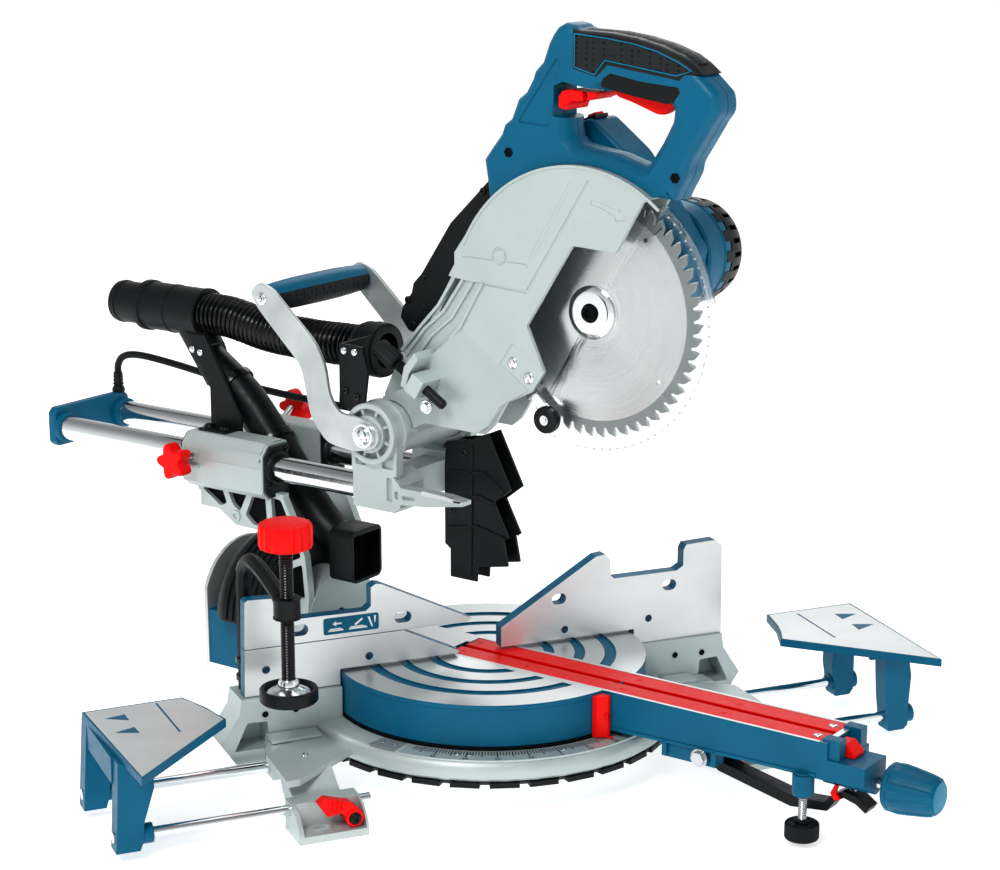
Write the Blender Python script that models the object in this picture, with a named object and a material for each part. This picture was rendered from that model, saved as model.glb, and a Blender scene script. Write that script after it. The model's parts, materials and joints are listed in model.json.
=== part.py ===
"""Sliding mitre saw on its own stand, with extension tables and a material clamp.

Lengths in this file are millimetres and are scaled by MM when a mesh is made.
The base is drawn with the turntable axis at x = y = 0, the bench at z = 0, the
fence along X and the operator on the -Y side. The saw itself is drawn in the
turntable frame (u right, v away from the operator, z up), which MITRE turns
about Z. The whole is then moved so that the origin is the middle of its outline.
"""

import math

import bmesh
import bpy
from mathutils import Matrix, Vector

MM = 0.001
GAP = 0.3
MITRE = math.radians(31.6)

# the turntable axis, seen from the middle of the whole saw's outline on the bench
TABLE_CENTRE = (3.0, -33.02, 0)

# base and turntable
TABLE_TOP = 92.0
TABLE_RADIUS = 140.6
SKIRT_BOTTOM = 55.2
RING_RADIUS = 167.4
RING_TOP = 51.6
RING_BOTTOM = 30.0
FENCE_THICK = 12.0
ROD_RADIUS = 4.7
ROD_HEIGHT = 20.0
ROD_FRONT = -114.6
ROD_REAR = -14.6

# saw
RAIL_OFFSET = 40.6
RAIL_HEIGHT = 239.0
RAIL_RADIUS = 12.0
BEARING_FRONT = 216.0
BEARING_REAR = 316.0
PIVOT = (83.0, 295.0)
BLADE_CENTRE = (-108.0, 415.0)
BLADE_RADIUS = 108.0
BLADE_TEETH = 36
CASING_RADIUS = 127.0
CASING_LEFT = -28.0
CASING_RIGHT = 18.0
MOTOR_CENTRE = (-141.0, 458.0)
MOTOR_RADIUS = 46.0
ADAPTER_HEIGHT = 365.0

# parent empties: name, place in the parent group's frame, name of the parent
AXES = (
    ("base_origin", (0, 0, 0), None),
    ("mitre_axis", (0, 0, 0), None),
    ("bevel_axis", (0, 188, TABLE_TOP), "mitre_axis"),
    ("slide_axis", (0, 266, RAIL_HEIGHT), "bevel_axis"),
    ("chop_axis", (0, *PIVOT), "slide_axis"),
    ("blade_axis", (0, *BLADE_CENTRE), "chop_axis"),
    ("guard_axis", (0, *BLADE_CENTRE), "chop_axis"),
    ("trigger_axis", (0, -189, 601), "chop_axis"),
    ("lock_off_axis", (-4, -118, 597), "chop_axis"),
    ("depth_stop_axis", (-50, 62, 357.4), "chop_axis"),
    ("left_slide_knob_axis", (-75, 305, 240), "bevel_axis"),
    ("mitre_knob_axis", (0, -400, 58), "mitre_axis"),
    ("detent_lever_axis", (0, -238, 54), "mitre_axis"),
    ("arm_foot_axis", (-24, -334, 0), "mitre_axis"),
    ("left_extension_axis", (-366, ROD_FRONT, ROD_HEIGHT), None),
    ("right_extension_axis", (360, ROD_FRONT, ROD_HEIGHT), None),
    ("left_rod_lever_axis", (-178.5, -134, 14.6), None),
    ("right_rod_lever_axis", (178.5, -134, 14.6), None),
    ("upper_fence_axis", (-140, 6, 145), None),
    ("clamp_post_axis", (-221, 25, 80), None),
    ("clamp_screw_axis", (-207, -55, 100), "clamp_post_axis"),
)
FINISHES = {
    "cast_silver": ((0.56, 0.58, 0.59), 0.45, 0.85),
    "machined_aluminium": ((0.78, 0.79, 0.80), 0.30, 0.95),
    "blue_paint": ((0.000, 0.127, 0.275), 0.38, 0.0),
    "black_plastic": ((0.012, 0.013, 0.015), 0.45, 0.0),
    "black_rubber": ((0.018, 0.018, 0.020), 0.75, 0.0),
    "red_plastic": ((0.80, 0.010, 0.008), 0.35, 0.0),
    "chrome": ((0.80, 0.81, 0.82), 0.10, 1.0),
    "blade_steel": ((0.62, 0.62, 0.63), 0.22, 1.0),
    "clear_plastic": ((0.75, 0.80, 0.82), 0.08, 0.0),
}


# ---------------------------------------------------------------- helpers

def clear_scene():
    for item in list(bpy.data.objects):
        bpy.data.objects.remove(item, do_unlink=True)


def make_finishes():
    finishes = {}
    for name, (colour, roughness, metallic) in FINISHES.items():
        material = bpy.data.materials.new(name)
        material.use_nodes = True
        shader = material.node_tree.nodes["Principled BSDF"]
        shader.inputs["Base Color"].default_value = (*colour, 1)
        shader.inputs["Roughness"].default_value = roughness
        shader.inputs["Metallic"].default_value = metallic
        finishes[name] = material
    return finishes


def object_from(mesh_data):
    """An object in the scene from a bmesh, with its faces pointing out."""
    bmesh.ops.recalc_face_normals(mesh_data, faces=mesh_data.faces)
    mesh = bpy.data.meshes.new("shape")
    mesh_data.to_mesh(mesh)
    mesh_data.free()
    item = bpy.data.objects.new("shape", mesh)
    bpy.context.scene.collection.objects.link(item)
    return item


def in_space(plane, a, b, c):
    """The point a, b on a plane and c along its normal, in metres."""
    order = {"xy": (a, b, c), "xz": (a, c, b), "yz": (c, a, b)}
    return Vector(order[plane]) * MM


def prism(outline, plane, low, high):
    """An outline extruded from low to high along the normal of its plane."""
    data = bmesh.new()
    lower = [data.verts.new(in_space(plane, a, b, low)) for a, b in outline]
    upper = [data.verts.new(in_space(plane, a, b, high)) for a, b in outline]
    data.faces.new(lower)
    data.faces.new(upper[::-1])
    for i in range(len(outline)):
        j = (i + 1) % len(outline)
        data.faces.new((lower[i], lower[j], upper[j], upper[i]))
    return object_from(data)


def block(low, high):
    outline = [(low[0], low[1]), (high[0], low[1]), (high[0], high[1]), (low[0], high[1])]
    return prism(outline, "xy", low[2], high[2])


def turned(profile, centre, axis, steps=20, start=0.0, sweep=360.0):
    """A profile of (radius, distance along the axis) points turned about a line through centre."""
    along = Vector(axis).normalized()
    side = along.orthogonal().normalized()
    if abs(along.z) < 0.5:
        side = along.cross(Vector((0, 0, 1))).normalized()
    other = along.cross(side)
    full = sweep > 359.9
    on_axis = profile[0][0] < 1e-6 and profile[-1][0] < 1e-6
    profile = list(profile)
    flat_ends = []
    if full and on_axis:
        if profile[0][1] == profile[1][1]:
            profile.pop(0)
            flat_ends.append(0)
        if profile[-1][1] == profile[-2][1]:
            profile.pop()
            flat_ends.append(-1)
    count = steps if full else steps + 1
    data = bmesh.new()
    rings = []
    for radius, distance in profile:
        base = Vector(centre) + along * distance
        if radius < 1e-6:
            rings.append([data.verts.new(base * MM)] * count)
            continue
        ring = []
        for i in range(count):
            angle = math.radians(start + sweep * i / steps)
            ring.append(data.verts.new((base + (side * math.cos(angle) + other * math.sin(angle)) * radius) * MM))
        rings.append(ring)
    for end in flat_ends:
        data.faces.new(rings[end])
    pairs = list(zip(rings, rings[1:]))
    if not on_axis:
        pairs.append((rings[-1], rings[0]))
    for first, second in pairs:
        for i in range(count if full else count - 1):
            j = (i + 1) % count
            corners = []
            for vertex in (first[i], first[j], second[j], second[i]):
                if vertex not in corners:
                    corners.append(vertex)
            if len(corners) > 2:
                data.faces.new(corners)
    if not full:
        for end in (0, -1):
            cap = []
            for ring in rings:
                if ring[end] not in cap:
                    cap.append(ring[end])
            data.faces.new(cap)
    return object_from(data)


def rod(start, end, radius, steps=16):
    along = Vector(end) - Vector(start)
    length = along.length
    return turned([(0, 0), (radius, 0), (radius, length), (0, length)], start, along, steps)


def arc(centre, radius, first, last, steps):
    """Points of an arc from first to last degrees, both included."""
    points = []
    for i in range(steps + 1):
        angle = math.radians(first + (last - first) * i / steps)
        points.append((centre[0] + radius * math.cos(angle), centre[1] + radius * math.sin(angle)))
    return points


def disc(centre, radius, steps=20):
    return arc(centre, radius, 0, 360, steps)[:-1]


def smooth_route(points, steps):
    """A Catmull-Rom curve through the points, with this many steps between two of them."""
    ends = [Vector(p) for p in points]
    ends = [2 * ends[0] - ends[1]] + ends + [2 * ends[-1] - ends[-2]]
    route = []
    for a, b, c, d in zip(ends, ends[1:], ends[2:], ends[3:]):
        for i in range(steps):
            t = i / steps
            route.append(0.5 * (2 * b + (c - a) * t + (2 * a - 5 * b + 4 * c - d) * t * t
                                + (3 * b - a - 3 * c + d) * t ** 3))
    return route + [ends[-2]]


def tube(points, radius, steps=2, resolution=3):
    """A capped round tube along a smooth route, as a curve object."""
    curve = bpy.data.curves.new("shape", "CURVE")
    curve.dimensions = "3D"
    curve.bevel_depth = radius * MM
    curve.bevel_resolution = resolution
    curve.use_fill_caps = True
    route = smooth_route(points, steps)
    spline = curve.splines.new("POLY")
    spline.points.add(len(route) - 1)
    for point, place in zip(spline.points, route):
        point.co = (*(place * MM), 1)
    item = bpy.data.objects.new("shape", curve)
    bpy.context.scene.collection.objects.link(item)
    return item


def meshed(item):
    """The mesh object that a curve object evaluates to."""
    graph = bpy.context.evaluated_depsgraph_get()
    mesh = bpy.data.meshes.new_from_object(item.evaluated_get(graph))
    bpy.data.objects.remove(item, do_unlink=True)
    data = bmesh.new()
    data.from_mesh(mesh)
    bmesh.ops.remove_doubles(data, verts=data.verts, dist=1e-6)
    return object_from(data)


def combine(item, others, operation):
    """The item after a Boolean with each of the others, which are used up."""
    for other in others:
        modifier = item.modifiers.new("boolean", "BOOLEAN")
        modifier.object = other
        modifier.operation = operation
        graph = bpy.context.evaluated_depsgraph_get()
        mesh = bpy.data.meshes.new_from_object(item.evaluated_get(graph))
        item.modifiers.clear()
        item.data = mesh
        bpy.data.objects.remove(other, do_unlink=True)
    return item


def join(item, *others):
    return combine(item, others, "UNION")


def cut(item, *others):
    return combine(item, others, "DIFFERENCE")


def mirrored(points):
    """An outline on the other side of the saw."""
    return [(-a, b) for a, b in reversed(points)]


class Assembly:
    """Names, finishes and places the pieces under their joint axes."""

    def __init__(self):
        self.finishes = make_finishes()
        self.empties = {}
        self.places = {}
        for name, place, parent in AXES:
            empty = bpy.data.objects.new(name, None)
            bpy.context.scene.collection.objects.link(empty)
            offset = Vector(place)
            if parent:
                empty.parent = self.empties[parent]
                offset = offset - self.places[parent]
            empty.location = offset * MM
            if parent is None:
                offset = offset + Vector(TABLE_CENTRE)
                empty.location = offset * MM
            if name == "mitre_axis":
                empty.rotation_euler.z = MITRE
            self.empties[name] = empty
            self.places[name] = Vector(place)

    def add(self, name, item, finish, axis="base_origin"):
        item.name = name
        item.data.name = name
        item.data.materials.clear()
        item.data.materials.append(self.finishes[finish])
        item.data.transform(Matrix.Translation(-self.places[axis] * MM))
        item.parent = self.empties[axis]
        if item.type == "MESH":
            item.data.shade_smooth()
            item.data.set_sharp_from_angle(angle=math.radians(35))
        return item


# ---------------------------------------------------------------- base

def pedestal(side):
    """The block under one outer fence, with a hollow that is open to the front."""
    outline = [(-142, 79.7), (-234, 79.7), (-236, 66), (-253, 40), (-240, 21), (-142, 21)]
    hollow = [(-229, 58), (-211, 57), (-209, 33), (-241, 33)]
    if side > 0:
        outline, hollow = mirrored(outline), mirrored(hollow)
    return cut(prism(outline, "xz", -4, 34), prism(hollow, "xz", -10, 24))


def wing(side):
    """The flat plate from the ring out to the tray."""
    outline = [(-150, 20), (-150, -6), (-168, -13), (-211, -34), (-226, -46), (-228, -111), (-216, -110),
               (-195, -93), (-160, -66), (-140, -50), (-124, -10)]
    if side > 0:
        outline = mirrored(outline)
    return prism(outline, "xy", 38, 44)


def tray(side):
    """The front tray with its bench hole, and the neck that joins it to the wing."""
    body = [(-144, 0), (-105, 0), (-105, 27), (-121, 27), (-133, 22), (-141, 13), (-144, 8)]
    neck = [(-70, 38.4), (-78, 24), (-95, 8), (-107, 6), (-107, 27), (-98, 32), (-84, 41), (-76, 43.5), (-66, 43.5)]
    low, high = sorted((side * 168, side * 228))
    item = prism(body, "yz", low, high)
    pocket = sorted((side * 169.8, side * 224))
    item = cut(item, prism([(-150, 6.5), (-121, 6.5), (-121, 35), (-150, 35)], "yz", *pocket))
    bench_hole = [(side * 204 + x * 1.7, -131 + y) for x, y in disc((0, 0), 4.2, 16)]
    item = cut(item, prism(bench_hole, "xy", -5, 12))
    return join(item, prism(neck, "yz", *sorted((side * 180, side * 222))))


def rod_lug(side):
    return block((min(side * 186, side * 214), -26, 11), (max(side * 186, side * 214), -5, 43))


def base_casting():
    ring = [(22, RING_BOTTOM), (150, RING_BOTTOM), (161, 31.5), (167, 36), (RING_RADIUS, 41), (166, 47),
            (163, 50.4), (160, RING_TOP), (118, RING_TOP), (118, 44), (22, 44)]
    item = turned(ring, (0, 0, 0), (0, 0, 1), 40)
    for side in (-1, 1):
        rear_foot = rod((side * 118, 96, 0), (side * 118, 96, 35), 14, 20)
        item = join(item, pedestal(side), wing(side), tray(side), rod_lug(side), rear_foot)
        for y in (ROD_FRONT, ROD_REAR):
            item = cut(item, rod((side * 100, y, ROD_HEIGHT), (side * 300, y, ROD_HEIGHT), ROD_RADIUS + GAP, 16))
    return item


def right_fence():
    outline = [(11, 94.4), (11, 113), (105, 169), (114, 170), (119, 164), (120, 149), (123, 146), (187, 146),
               (194, 150), (194, 165), (197, 170), (227, 171), (234, 165), (235, 80), (144, 80), (144, 94.4)]
    item = prism(outline, "xz", 0, FENCE_THICK)
    return cut(item, fence_slot(61, 75, 133), fence_slot(173, 187, 133), *fence_holes((74, 103), (159, 103)))


def fence_slot(low, high, height):
    """A long hole right through a fence."""
    outline = arc((low + 5, height), 5, 90, 270, 8) + arc((high - 5, height), 5, -90, 90, 8)
    return prism(outline, "xz", -5, FENCE_THICK + 5)


def fence_holes(*places):
    return [prism(disc(place, 3.5, 12), "xz", -5, FENCE_THICK + 5) for place in places]


def left_lower_fence():
    outline = [(-229, 122.9), (-230, 80), (-142, 80), (-142, 94.4), (-30, 94.4), (-30, 97), (-83, 122.9)]
    return cut(prism(outline, "xz", 0, FENCE_THICK), *fence_holes((-210, 103), (-115, 103)))


def left_upper_fence():
    outline = [(-229, 123.3), (-228, 166), (-225, 168), (-203, 167), (-200, 149), (-198, 146), (-118, 145),
               (-113, 149), (-113, 166), (-108, 169), (-103, 168), (-18, 126), (-22, 123.3)]
    item = prism(outline, "xz", 0, FENCE_THICK)
    return cut(item, fence_slot(-187, -171, 135), fence_slot(-91, -75, 135))


def extension_table(side):
    """A table plate on two legs, with ribs under its outer edge."""
    if side < 0:
        top = [(-375, -12), (-288, -9), (-276, -40), (-268, -74), (-365, -174)]
        legs = (((-376, 9), (-356, 9), (-353, 17), (-352, 33), (-343, 62), (-343, 86), (-372, 86), (-374, 40)),
                ((-379, 8), (-360, 8), (-358, 14), (-355, 35), (-348, 62), (-348, 86), (-374, 86), (-377, 40)))
        rib = (-374, -368)
    else:
        top = [(282, -3), (373, -3), (364, -176), (259, -71), (274, -36)]
        legs = (((345, 8), (361, 8), (365, 12), (365, 31), (367, 60), (362, 86), (338, 86), (341, 40)),
                ((348, 8), (363, 8), (367, 13), (367, 26), (367, 60), (366, 86), (346, 86), (343, 40)))
        rib = (362, 368)
    item = prism(top, "xy", 85, TABLE_TOP)
    for outline, y in zip(legs, (ROD_FRONT, ROD_REAR)):
        item = join(item, prism(outline, "xz", y - 9, y + 9))
    item = join(item, block((rib[0], -108, 64), (rib[1], -20, 86)))
    for y in (ROD_FRONT, ROD_REAR):
        item = cut(item, rod((side * 330, y, ROD_HEIGHT), (side * 400, y, ROD_HEIGHT), ROD_RADIUS + 0.15, 16))
    return item


def extension_rod(side, y, outer):
    return rod((side * 157, y, ROD_HEIGHT), (side * outer, y, ROD_HEIGHT), ROD_RADIUS, 20)


def rod_lever(side):
    """The red lever that clamps the front rod, on its screw in the tray."""
    arm = [(-210, 31), (-204, 35.5), (-182, 29), (-172.5, 20), (-184, 15), (-190, 20.5), (-202, 19)]
    hub = disc((-178.5, 14.6), 7.8, 20)
    if side > 0:
        arm, hub = mirrored(arm), mirrored(hub)
    return join(prism(arm, "xz", -139, -130), prism(hub, "xz", -140, -121.4))


def clamp_post():
    route = [(-221, 25, 80.2), (-221, 25, 130), (-221, 25, 178), (-220.5, 21, 192), (-219, 10, 200),
             (-217, -4, 199.5), (-213, -22, 192), (-209, -44, 181)]
    item = meshed(tube(route, 7, 2))
    collar = turned([(6.6, 168), (11.5, 168), (11.5, 184), (6.6, 184)], (-207, -55, 0), (0, 0, 1), 24)
    return cut(join(item, collar), rod((-207, -55, 150), (-207, -55, 200), 6.5, 24))


def clamp_screw():
    profile = [(0, 107.3), (6, 107.3), (6, 227), (20, 228), (23, 231), (23, 249), (20, 252), (0, 252)]
    return turned(profile, (-207, -55, 0), (0, 0, 1), 24)


def clamp_pad():
    profile = [(0, 93), (24, 93), (25, 95), (25, 105), (21, 106), (18, 101), (8, 107), (0, 107)]
    return turned(profile, (-207, -55, 0), (0, 0, 1), 24)


def build_base(add):
    add("base_casting", base_casting(), "cast_silver")
    add("right_fence", right_fence(), "machined_aluminium")
    add("left_lower_fence", left_lower_fence(), "machined_aluminium")
    add("left_upper_fence", left_upper_fence(), "machined_aluminium", "upper_fence_axis")
    for side, name, outer in ((-1, "left", (376.5, 379)), (1, "right", (366, 368))):
        axis = name + "_extension_axis"
        add(name + "_extension_table", extension_table(side), "blue_paint", axis)
        add(name + "_front_rod", extension_rod(side, ROD_FRONT, outer[0]), "chrome", axis)
        add(name + "_rear_rod", extension_rod(side, ROD_REAR, outer[1]), "chrome", axis)
        add(name + "_rod_lever", rod_lever(side), "red_plastic", name + "_rod_lever_axis")
    add("clamp_post", clamp_post(), "black_plastic", "clamp_post_axis")
    add("clamp_screw", clamp_screw(), "red_plastic", "clamp_screw_axis")
    add("clamp_pad", clamp_pad(), "chrome", "clamp_screw_axis")


# ---------------------------------------------------------------- turntable

def turntable():
    """The round table in one casting with the rear arm that holds the bevel pivot."""
    profile = [(0, TABLE_TOP), (TABLE_RADIUS, TABLE_TOP), (TABLE_RADIUS, SKIRT_BOTTOM), (132, SKIRT_BOTTOM),
               (132, 82), (34, 82), (34, 44.4), (21.5, 44.4), (21.5, 31), (0, 31)]
    item = join(turned(profile, (0, 0, 0), (0, 0, 1), 56), block((-30, 125, 57), (30, 173.4, 80)),
                block((-40, 168.6, 38), (40, 173.4, 62)), block((-40, 170, 38), (40, 206, 45.4)),
                block((-55, 203.2, 38), (55, 291, 91.4)), rod((0, 176, TABLE_TOP), (0, 206, TABLE_TOP), 8, 24))
    return cut(item, blade_channel(), insert_recess())


def blade_channel():
    return block((-9, -336, 66), (11, 34, 95))


def insert_recess():
    return block((-22.3, -349.3, 88.5), (25.3, 30.3, 95))


def table_arm():
    """The arm that carries the kerf inserts out to the mitre lock."""
    side = [(-132, 90), (-132, 85), (-134, 57.2), (-170, 57.2), (-170, 60), (-340, 60), (-352, 60), (-390, 61),
            (-390, 78), (-356, 78), (-356, TABLE_TOP), (-141, TABLE_TOP)]
    item = prism(side, "yz", -26, 28)
    item = join(item, block((-24, -250, 46), (-9, -202, 61)), block((9, -250, 46), (24, -202, 61)))
    item = join(item, block((-24, -366, 70), (-13, -350, 95)), block((13, -366, 70), (24, -350, 95)))
    item = join(item, rod((0, -343, 58), (0, -388.5, 58), 10, 20), rod((-24, -334, 43), (-24, -334, 63), 7.5, 20))
    item = cut(item, blade_channel(), insert_recess(), rod((-24, -334, 40), (-24, -334, 58), 3.8, 16))
    item = cut(item, rod((0, -360, 58), (0, -400, 58), 5.3, 16), block((12, -400, 50), (40, -366.3, 100)))
    item = cut(item, rod((-40, -238, 54), (40, -238, 54), 3.3, 16))
    return cut(item, turned([(0, 20), (TABLE_RADIUS + GAP, 20), (TABLE_RADIUS + GAP, 120), (0, 120)],
                            (0, 0, 0), (0, 0, 1), 56))


def rear_cover():
    """The domed black cover over the bevel lock, in line with the bevel axis."""
    profile = [(0, 206.4), (76, 206.4), (76, 254), (72, 264), (62, 274), (46, 282), (26, 288), (0, 291)]
    return turned(profile, (0, 0, TABLE_TOP), (0, 1, 0), 24, 180, 180)


def bevel_plate():
    outline = arc((0, TABLE_TOP), 60, 20, 160, 14) + [(-56, 38), (56, 38)]
    return cut(prism(outline, "xz", 291.3, 295), prism(disc((0, TABLE_TOP), 6, 12), "xz", 285, 300))


def mitre_knob():
    profile = [(0, -372), (5, -372), (5, -391), (18, -391), (20, -394), (20, -412), (16, -440), (14, -444),
               (0, -444)]
    return turned(profile, (0, 0, 58), (0, 1, 0), 24)


def detent_lever():
    outline = [(-232, 50), (-246, 46), (-318, 31), (-345, 33), (-352, 41), (-362, 47), (-374, 45), (-386, 37),
               (-383, 32), (-374, 38), (-363, 41), (-355, 36), (-348, 26), (-314, 22), (-245, 37), (-234, 44)]
    bolt = [(0, -33), (5.5, -33), (5.5, -29.5), (7.5, -29.5), (7.5, -26.3), (3, -26.3), (3, 26), (0, 26)]
    return join(prism(outline, "yz", -8, 8), prism(disc((-238, 54), 5.6, 16), "yz", -8, 8),
                turned(bolt, (0, -238, 54), (1, 0, 0), 16))


def arm_foot():
    profile = [(0, 5), (13, 5), (14, 6.5), (14, 17), (12.5, 19), (3.5, 19), (3.5, 56), (0, 56)]
    return turned(profile, (-24, -334, 0), (0, 0, 1), 24)


def build_turntable(add):
    axis = "mitre_axis"
    add("turntable", turntable(), "blue_paint", axis)
    add("table_arm", table_arm(), "blue_paint", axis)
    add("left_kerf_insert", block((-22, -349, 88.8), (-2, 30, 91.8)), "red_plastic", axis)
    add("right_kerf_insert", block((3.8, -349, 88.8), (25, 30, 91.8)), "red_plastic", axis)
    pointer = [(-38, -135.9), (-27, -138.5), (-27, -148), (-31, -148), (-38, -141)]
    add("mitre_pointer", prism(pointer, "xy", 52.4, 90), "red_plastic", axis)
    flag = [(-357, 78.4), (-374, 78.4), (-374, 82), (-366, 90), (-357, 90)]
    add("detent_flag", prism(flag, "yz", -12.5, 4), "red_plastic", axis)
    add("rear_cover", rear_cover(), "black_plastic", axis)
    add("bevel_plate", bevel_plate(), "machined_aluminium", axis)
    add("mitre_lock_knob", mitre_knob(), "blue_paint", "mitre_knob_axis")
    add("detent_lever", detent_lever(), "black_plastic", "detent_lever_axis")
    add("arm_foot", arm_foot(), "black_plastic", "arm_foot_axis")


# ---------------------------------------------------------------- bevel arm

def bevel_arm():
    """The tilting arm: a hub on the bevel axis, two webs, and a bearing block for each rail."""
    web = [(176, 96), (174, 124), (178, 160), (190, 188), (203, 212), (203, 216), (316, 216), (308, 205),
           (262, 177), (202.6, 177), (202.6, 96)]
    item = prism(disc((0, TABLE_TOP), 45.8, 40), "xz", 173.8, 202.6)
    for low, high in ((-45, -37), (37, 45)):
        item = join(item, prism(web, "yz", low, high))
    item = join(item, block((-45, 262, 190), (45, 306, 206)))
    block_outline = [(-58, 218), (-50, 210), (-24, 210), (-24, 262), (-50, 262), (-58, 252)]
    for outline in (block_outline, mirrored(block_outline)):
        item = join(item, prism(outline, "xz", BEARING_FRONT, BEARING_REAR))
    for u in (-RAIL_OFFSET, RAIL_OFFSET):
        item = cut(item, rod((u, 150, RAIL_HEIGHT), (u, 330, RAIL_HEIGHT), RAIL_RADIUS + GAP, 24))
    item = cut(item, rod((0, 160, TABLE_TOP), (0, 220, TABLE_TOP), 8.3, 20))
    return cut(item, rod((-70, 305, 240), (-48, 305, 240), 4.3, 12))


def star_knob(axis, side):
    """A five-lobed knob facing along U, on its screw."""
    place = dict((name, where) for name, where, _ in AXES)[axis]
    lobes = []
    for i in range(40):
        angle = 2 * math.pi * i / 40
        radius = 15 + 3 * math.cos(5 * angle)
        lobes.append((place[1] + radius * math.cos(angle), place[2] + radius * math.sin(angle)))
    head = prism(lobes, "yz", *sorted((side * 72, side * 88)))
    return join(head, rod((side * 54, place[1], place[2]), (side * 76, place[1], place[2]), 4, 12))


def lower_duct():
    """The duct from behind the blade up to the adapter, with its wide mouth."""
    route = [(0, 158, 160), (0, 182, 172), (0, 208, 197), (0, 236, 232), (0, 262, 263), (0, 288, 291),
             (0, 310, 306), (0, 332, 320)]
    item = join(meshed(tube(route, 18.5, 2, 3)), prism([(-22, 134), (22, 134), (22, 180), (18, 184), (-18, 184),
                                                       (-22, 180)], "xz", 141, 168))
    item = cut(item, block((-30, 322.6, 250), (30, 380, 380)))
    return cut(item, prism([(-19, 137), (19, 137), (19, 179), (-19, 179)], "xz", 130, 158),
               meshed(tube(route[:-3], 14, 2, 2)))


def dust_adapter():
    """The outlet of the dust system: a pipe along V with a stub down to the lower duct."""
    profile = [(0, 330), (23, 330), (23, 402), (24.5, 403), (24.5, 409), (20, 410), (20, 445), (0, 445)]
    item = turned(profile, (0, 0, ADAPTER_HEIGHT), (0, 1, 0), 32)
    item = join(item, rod((0, 315, 305), (0, 352, 355), 17, 24))
    return cut(item, block((-30, 290, 270), (30, 323, 338)),
               rod((0, 320, ADAPTER_HEIGHT), (0, 480, ADAPTER_HEIGHT), 17, 32))


def adapter_bracket():
    sheet = [(335, 350), (330, 342), (307, 300), (307, 262.4), (269, 262.4), (269, 276), (312, 350)]
    foot = block((-46, 272, 262.4), (-24, 306, 265.4))
    return join(prism(sheet, "yz", -27, -24), foot)


def build_bevel(add):
    axis = "bevel_axis"
    add("bevel_arm", bevel_arm(), "cast_silver", axis)
    add("left_slide_knob", star_knob("left_slide_knob_axis", -1), "red_plastic", "left_slide_knob_axis")
    add("lower_dust_duct", lower_duct(), "black_plastic", axis)
    add("dust_adapter", dust_adapter(), "black_plastic", axis)
    add("adapter_bracket", adapter_bracket(), "black_plastic", axis)


# ---------------------------------------------------------------- slide

def head_bracket():
    """The bracket on the front of the rails, with two ears for the head's pivot."""
    body = [(107, 225), (107, 262), (66, 262), (54, 250), (54, 230), (60, 225)]
    nose = [(58, 233), (58, 249), (4, 249), (-15, 247), (-15, 243), (27, 236)]
    short_nose = [(58, 231), (58, 245), (29, 245), (24, 238)]
    item = block((-30, 66, 227), (30, 94, 256))
    for side in (-1, 1):
        low, high = sorted((side * 26, side * 60))
        ear_low, ear_high = sorted((side * 50, side * 60))
        boss_low, boss_high = sorted((side * 50, side * 67.7))
        ear = prism([(58, 258), (108, 258), (109, 295), (57, 295)], "yz", ear_low, ear_high)
        item = join(item, prism(body, "yz", low, high), ear, prism(disc(PIVOT, 27), "yz", ear_low, ear_high),
                    prism(disc(PIVOT, 17), "yz", boss_low, boss_high),
                    prism(nose if side < 0 else short_nose, "yz", *sorted((side * 48, side * 60))))
        item = cut(item, rod((side * RAIL_OFFSET, 60, RAIL_HEIGHT), (side * RAIL_OFFSET, 120, RAIL_HEIGHT),
                             RAIL_RADIUS + GAP, 24))
    item = join(item, block((50.5, 104, 260), (60, 118, 290)))
    return cut(item, rod((-80, *PIVOT), (80, *PIVOT), 8.3, 24))


def rail(u):
    return rod((u, 60.4, RAIL_HEIGHT), (u, 489.7, RAIL_HEIGHT), RAIL_RADIUS, 24)


def rail_end_cap():
    outline = [(-54, 226), (-49, 221), (44, 221), (49, 226), (49, 255), (44, 260), (-49, 260), (-54, 255)]
    return prism(outline, "xz", 490, 500)


def carry_plate(side):
    outline = [(214, 408), (204, 419), (188, 415), (138, 371), (128, 353), (123, 325), (113, 311), (85, 310),
               (67, 300), (70, 285), (95, 278), (127, 282), (145, 303), (155, 348), (204, 394)]
    item = prism(outline, "yz", *sorted((side * 68, side * 72)))
    return cut(item, rod((side * 60, *PIVOT), (side * 80, *PIVOT), 8.3, 24))


def carry_grip():
    profile = [(0, -67.7), (11, -67.7), (13, -50), (14, 0), (13, 50), (11, 67.7), (0, 67.7)]
    return turned(profile, (0, 198, 404), (1, 0, 0), 24)


def pivot_axle():
    profile = [(0, -76), (11, -76), (11, -72.3), (8, -72.3), (8, 72.3), (11, 72.3), (11, 76), (0, 76)]
    return turned(profile, (0, *PIVOT), (1, 0, 0), 24)


def hose_bracket():
    """The sheet bracket on the left ear that carries the front end of the dust hose."""
    sheet = [(90, 322), (112, 312), (119, 314), (118, 330), (118, 372), (92, 371), (86, 350)]
    cuff = [(16, 114), (24, 114), (24, 136), (21.5, 141.7), (16, 141.7)]
    return join(prism(sheet, "yz", -63.4, -60.3), block((-63.4, 115, 338), (-14, 118, 372)),
                turned(cuff, (0, 0, 355), (0, 1, 0), 32))


def dust_hose():
    route = [(0, 142.2, 355), (0, 160, 355), (0, 205, 354.5), (0, 255, 357), (0, 300, 364.2), (0, 329.4, 365)]
    return tube(route, 16.5, 2, 4)


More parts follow.
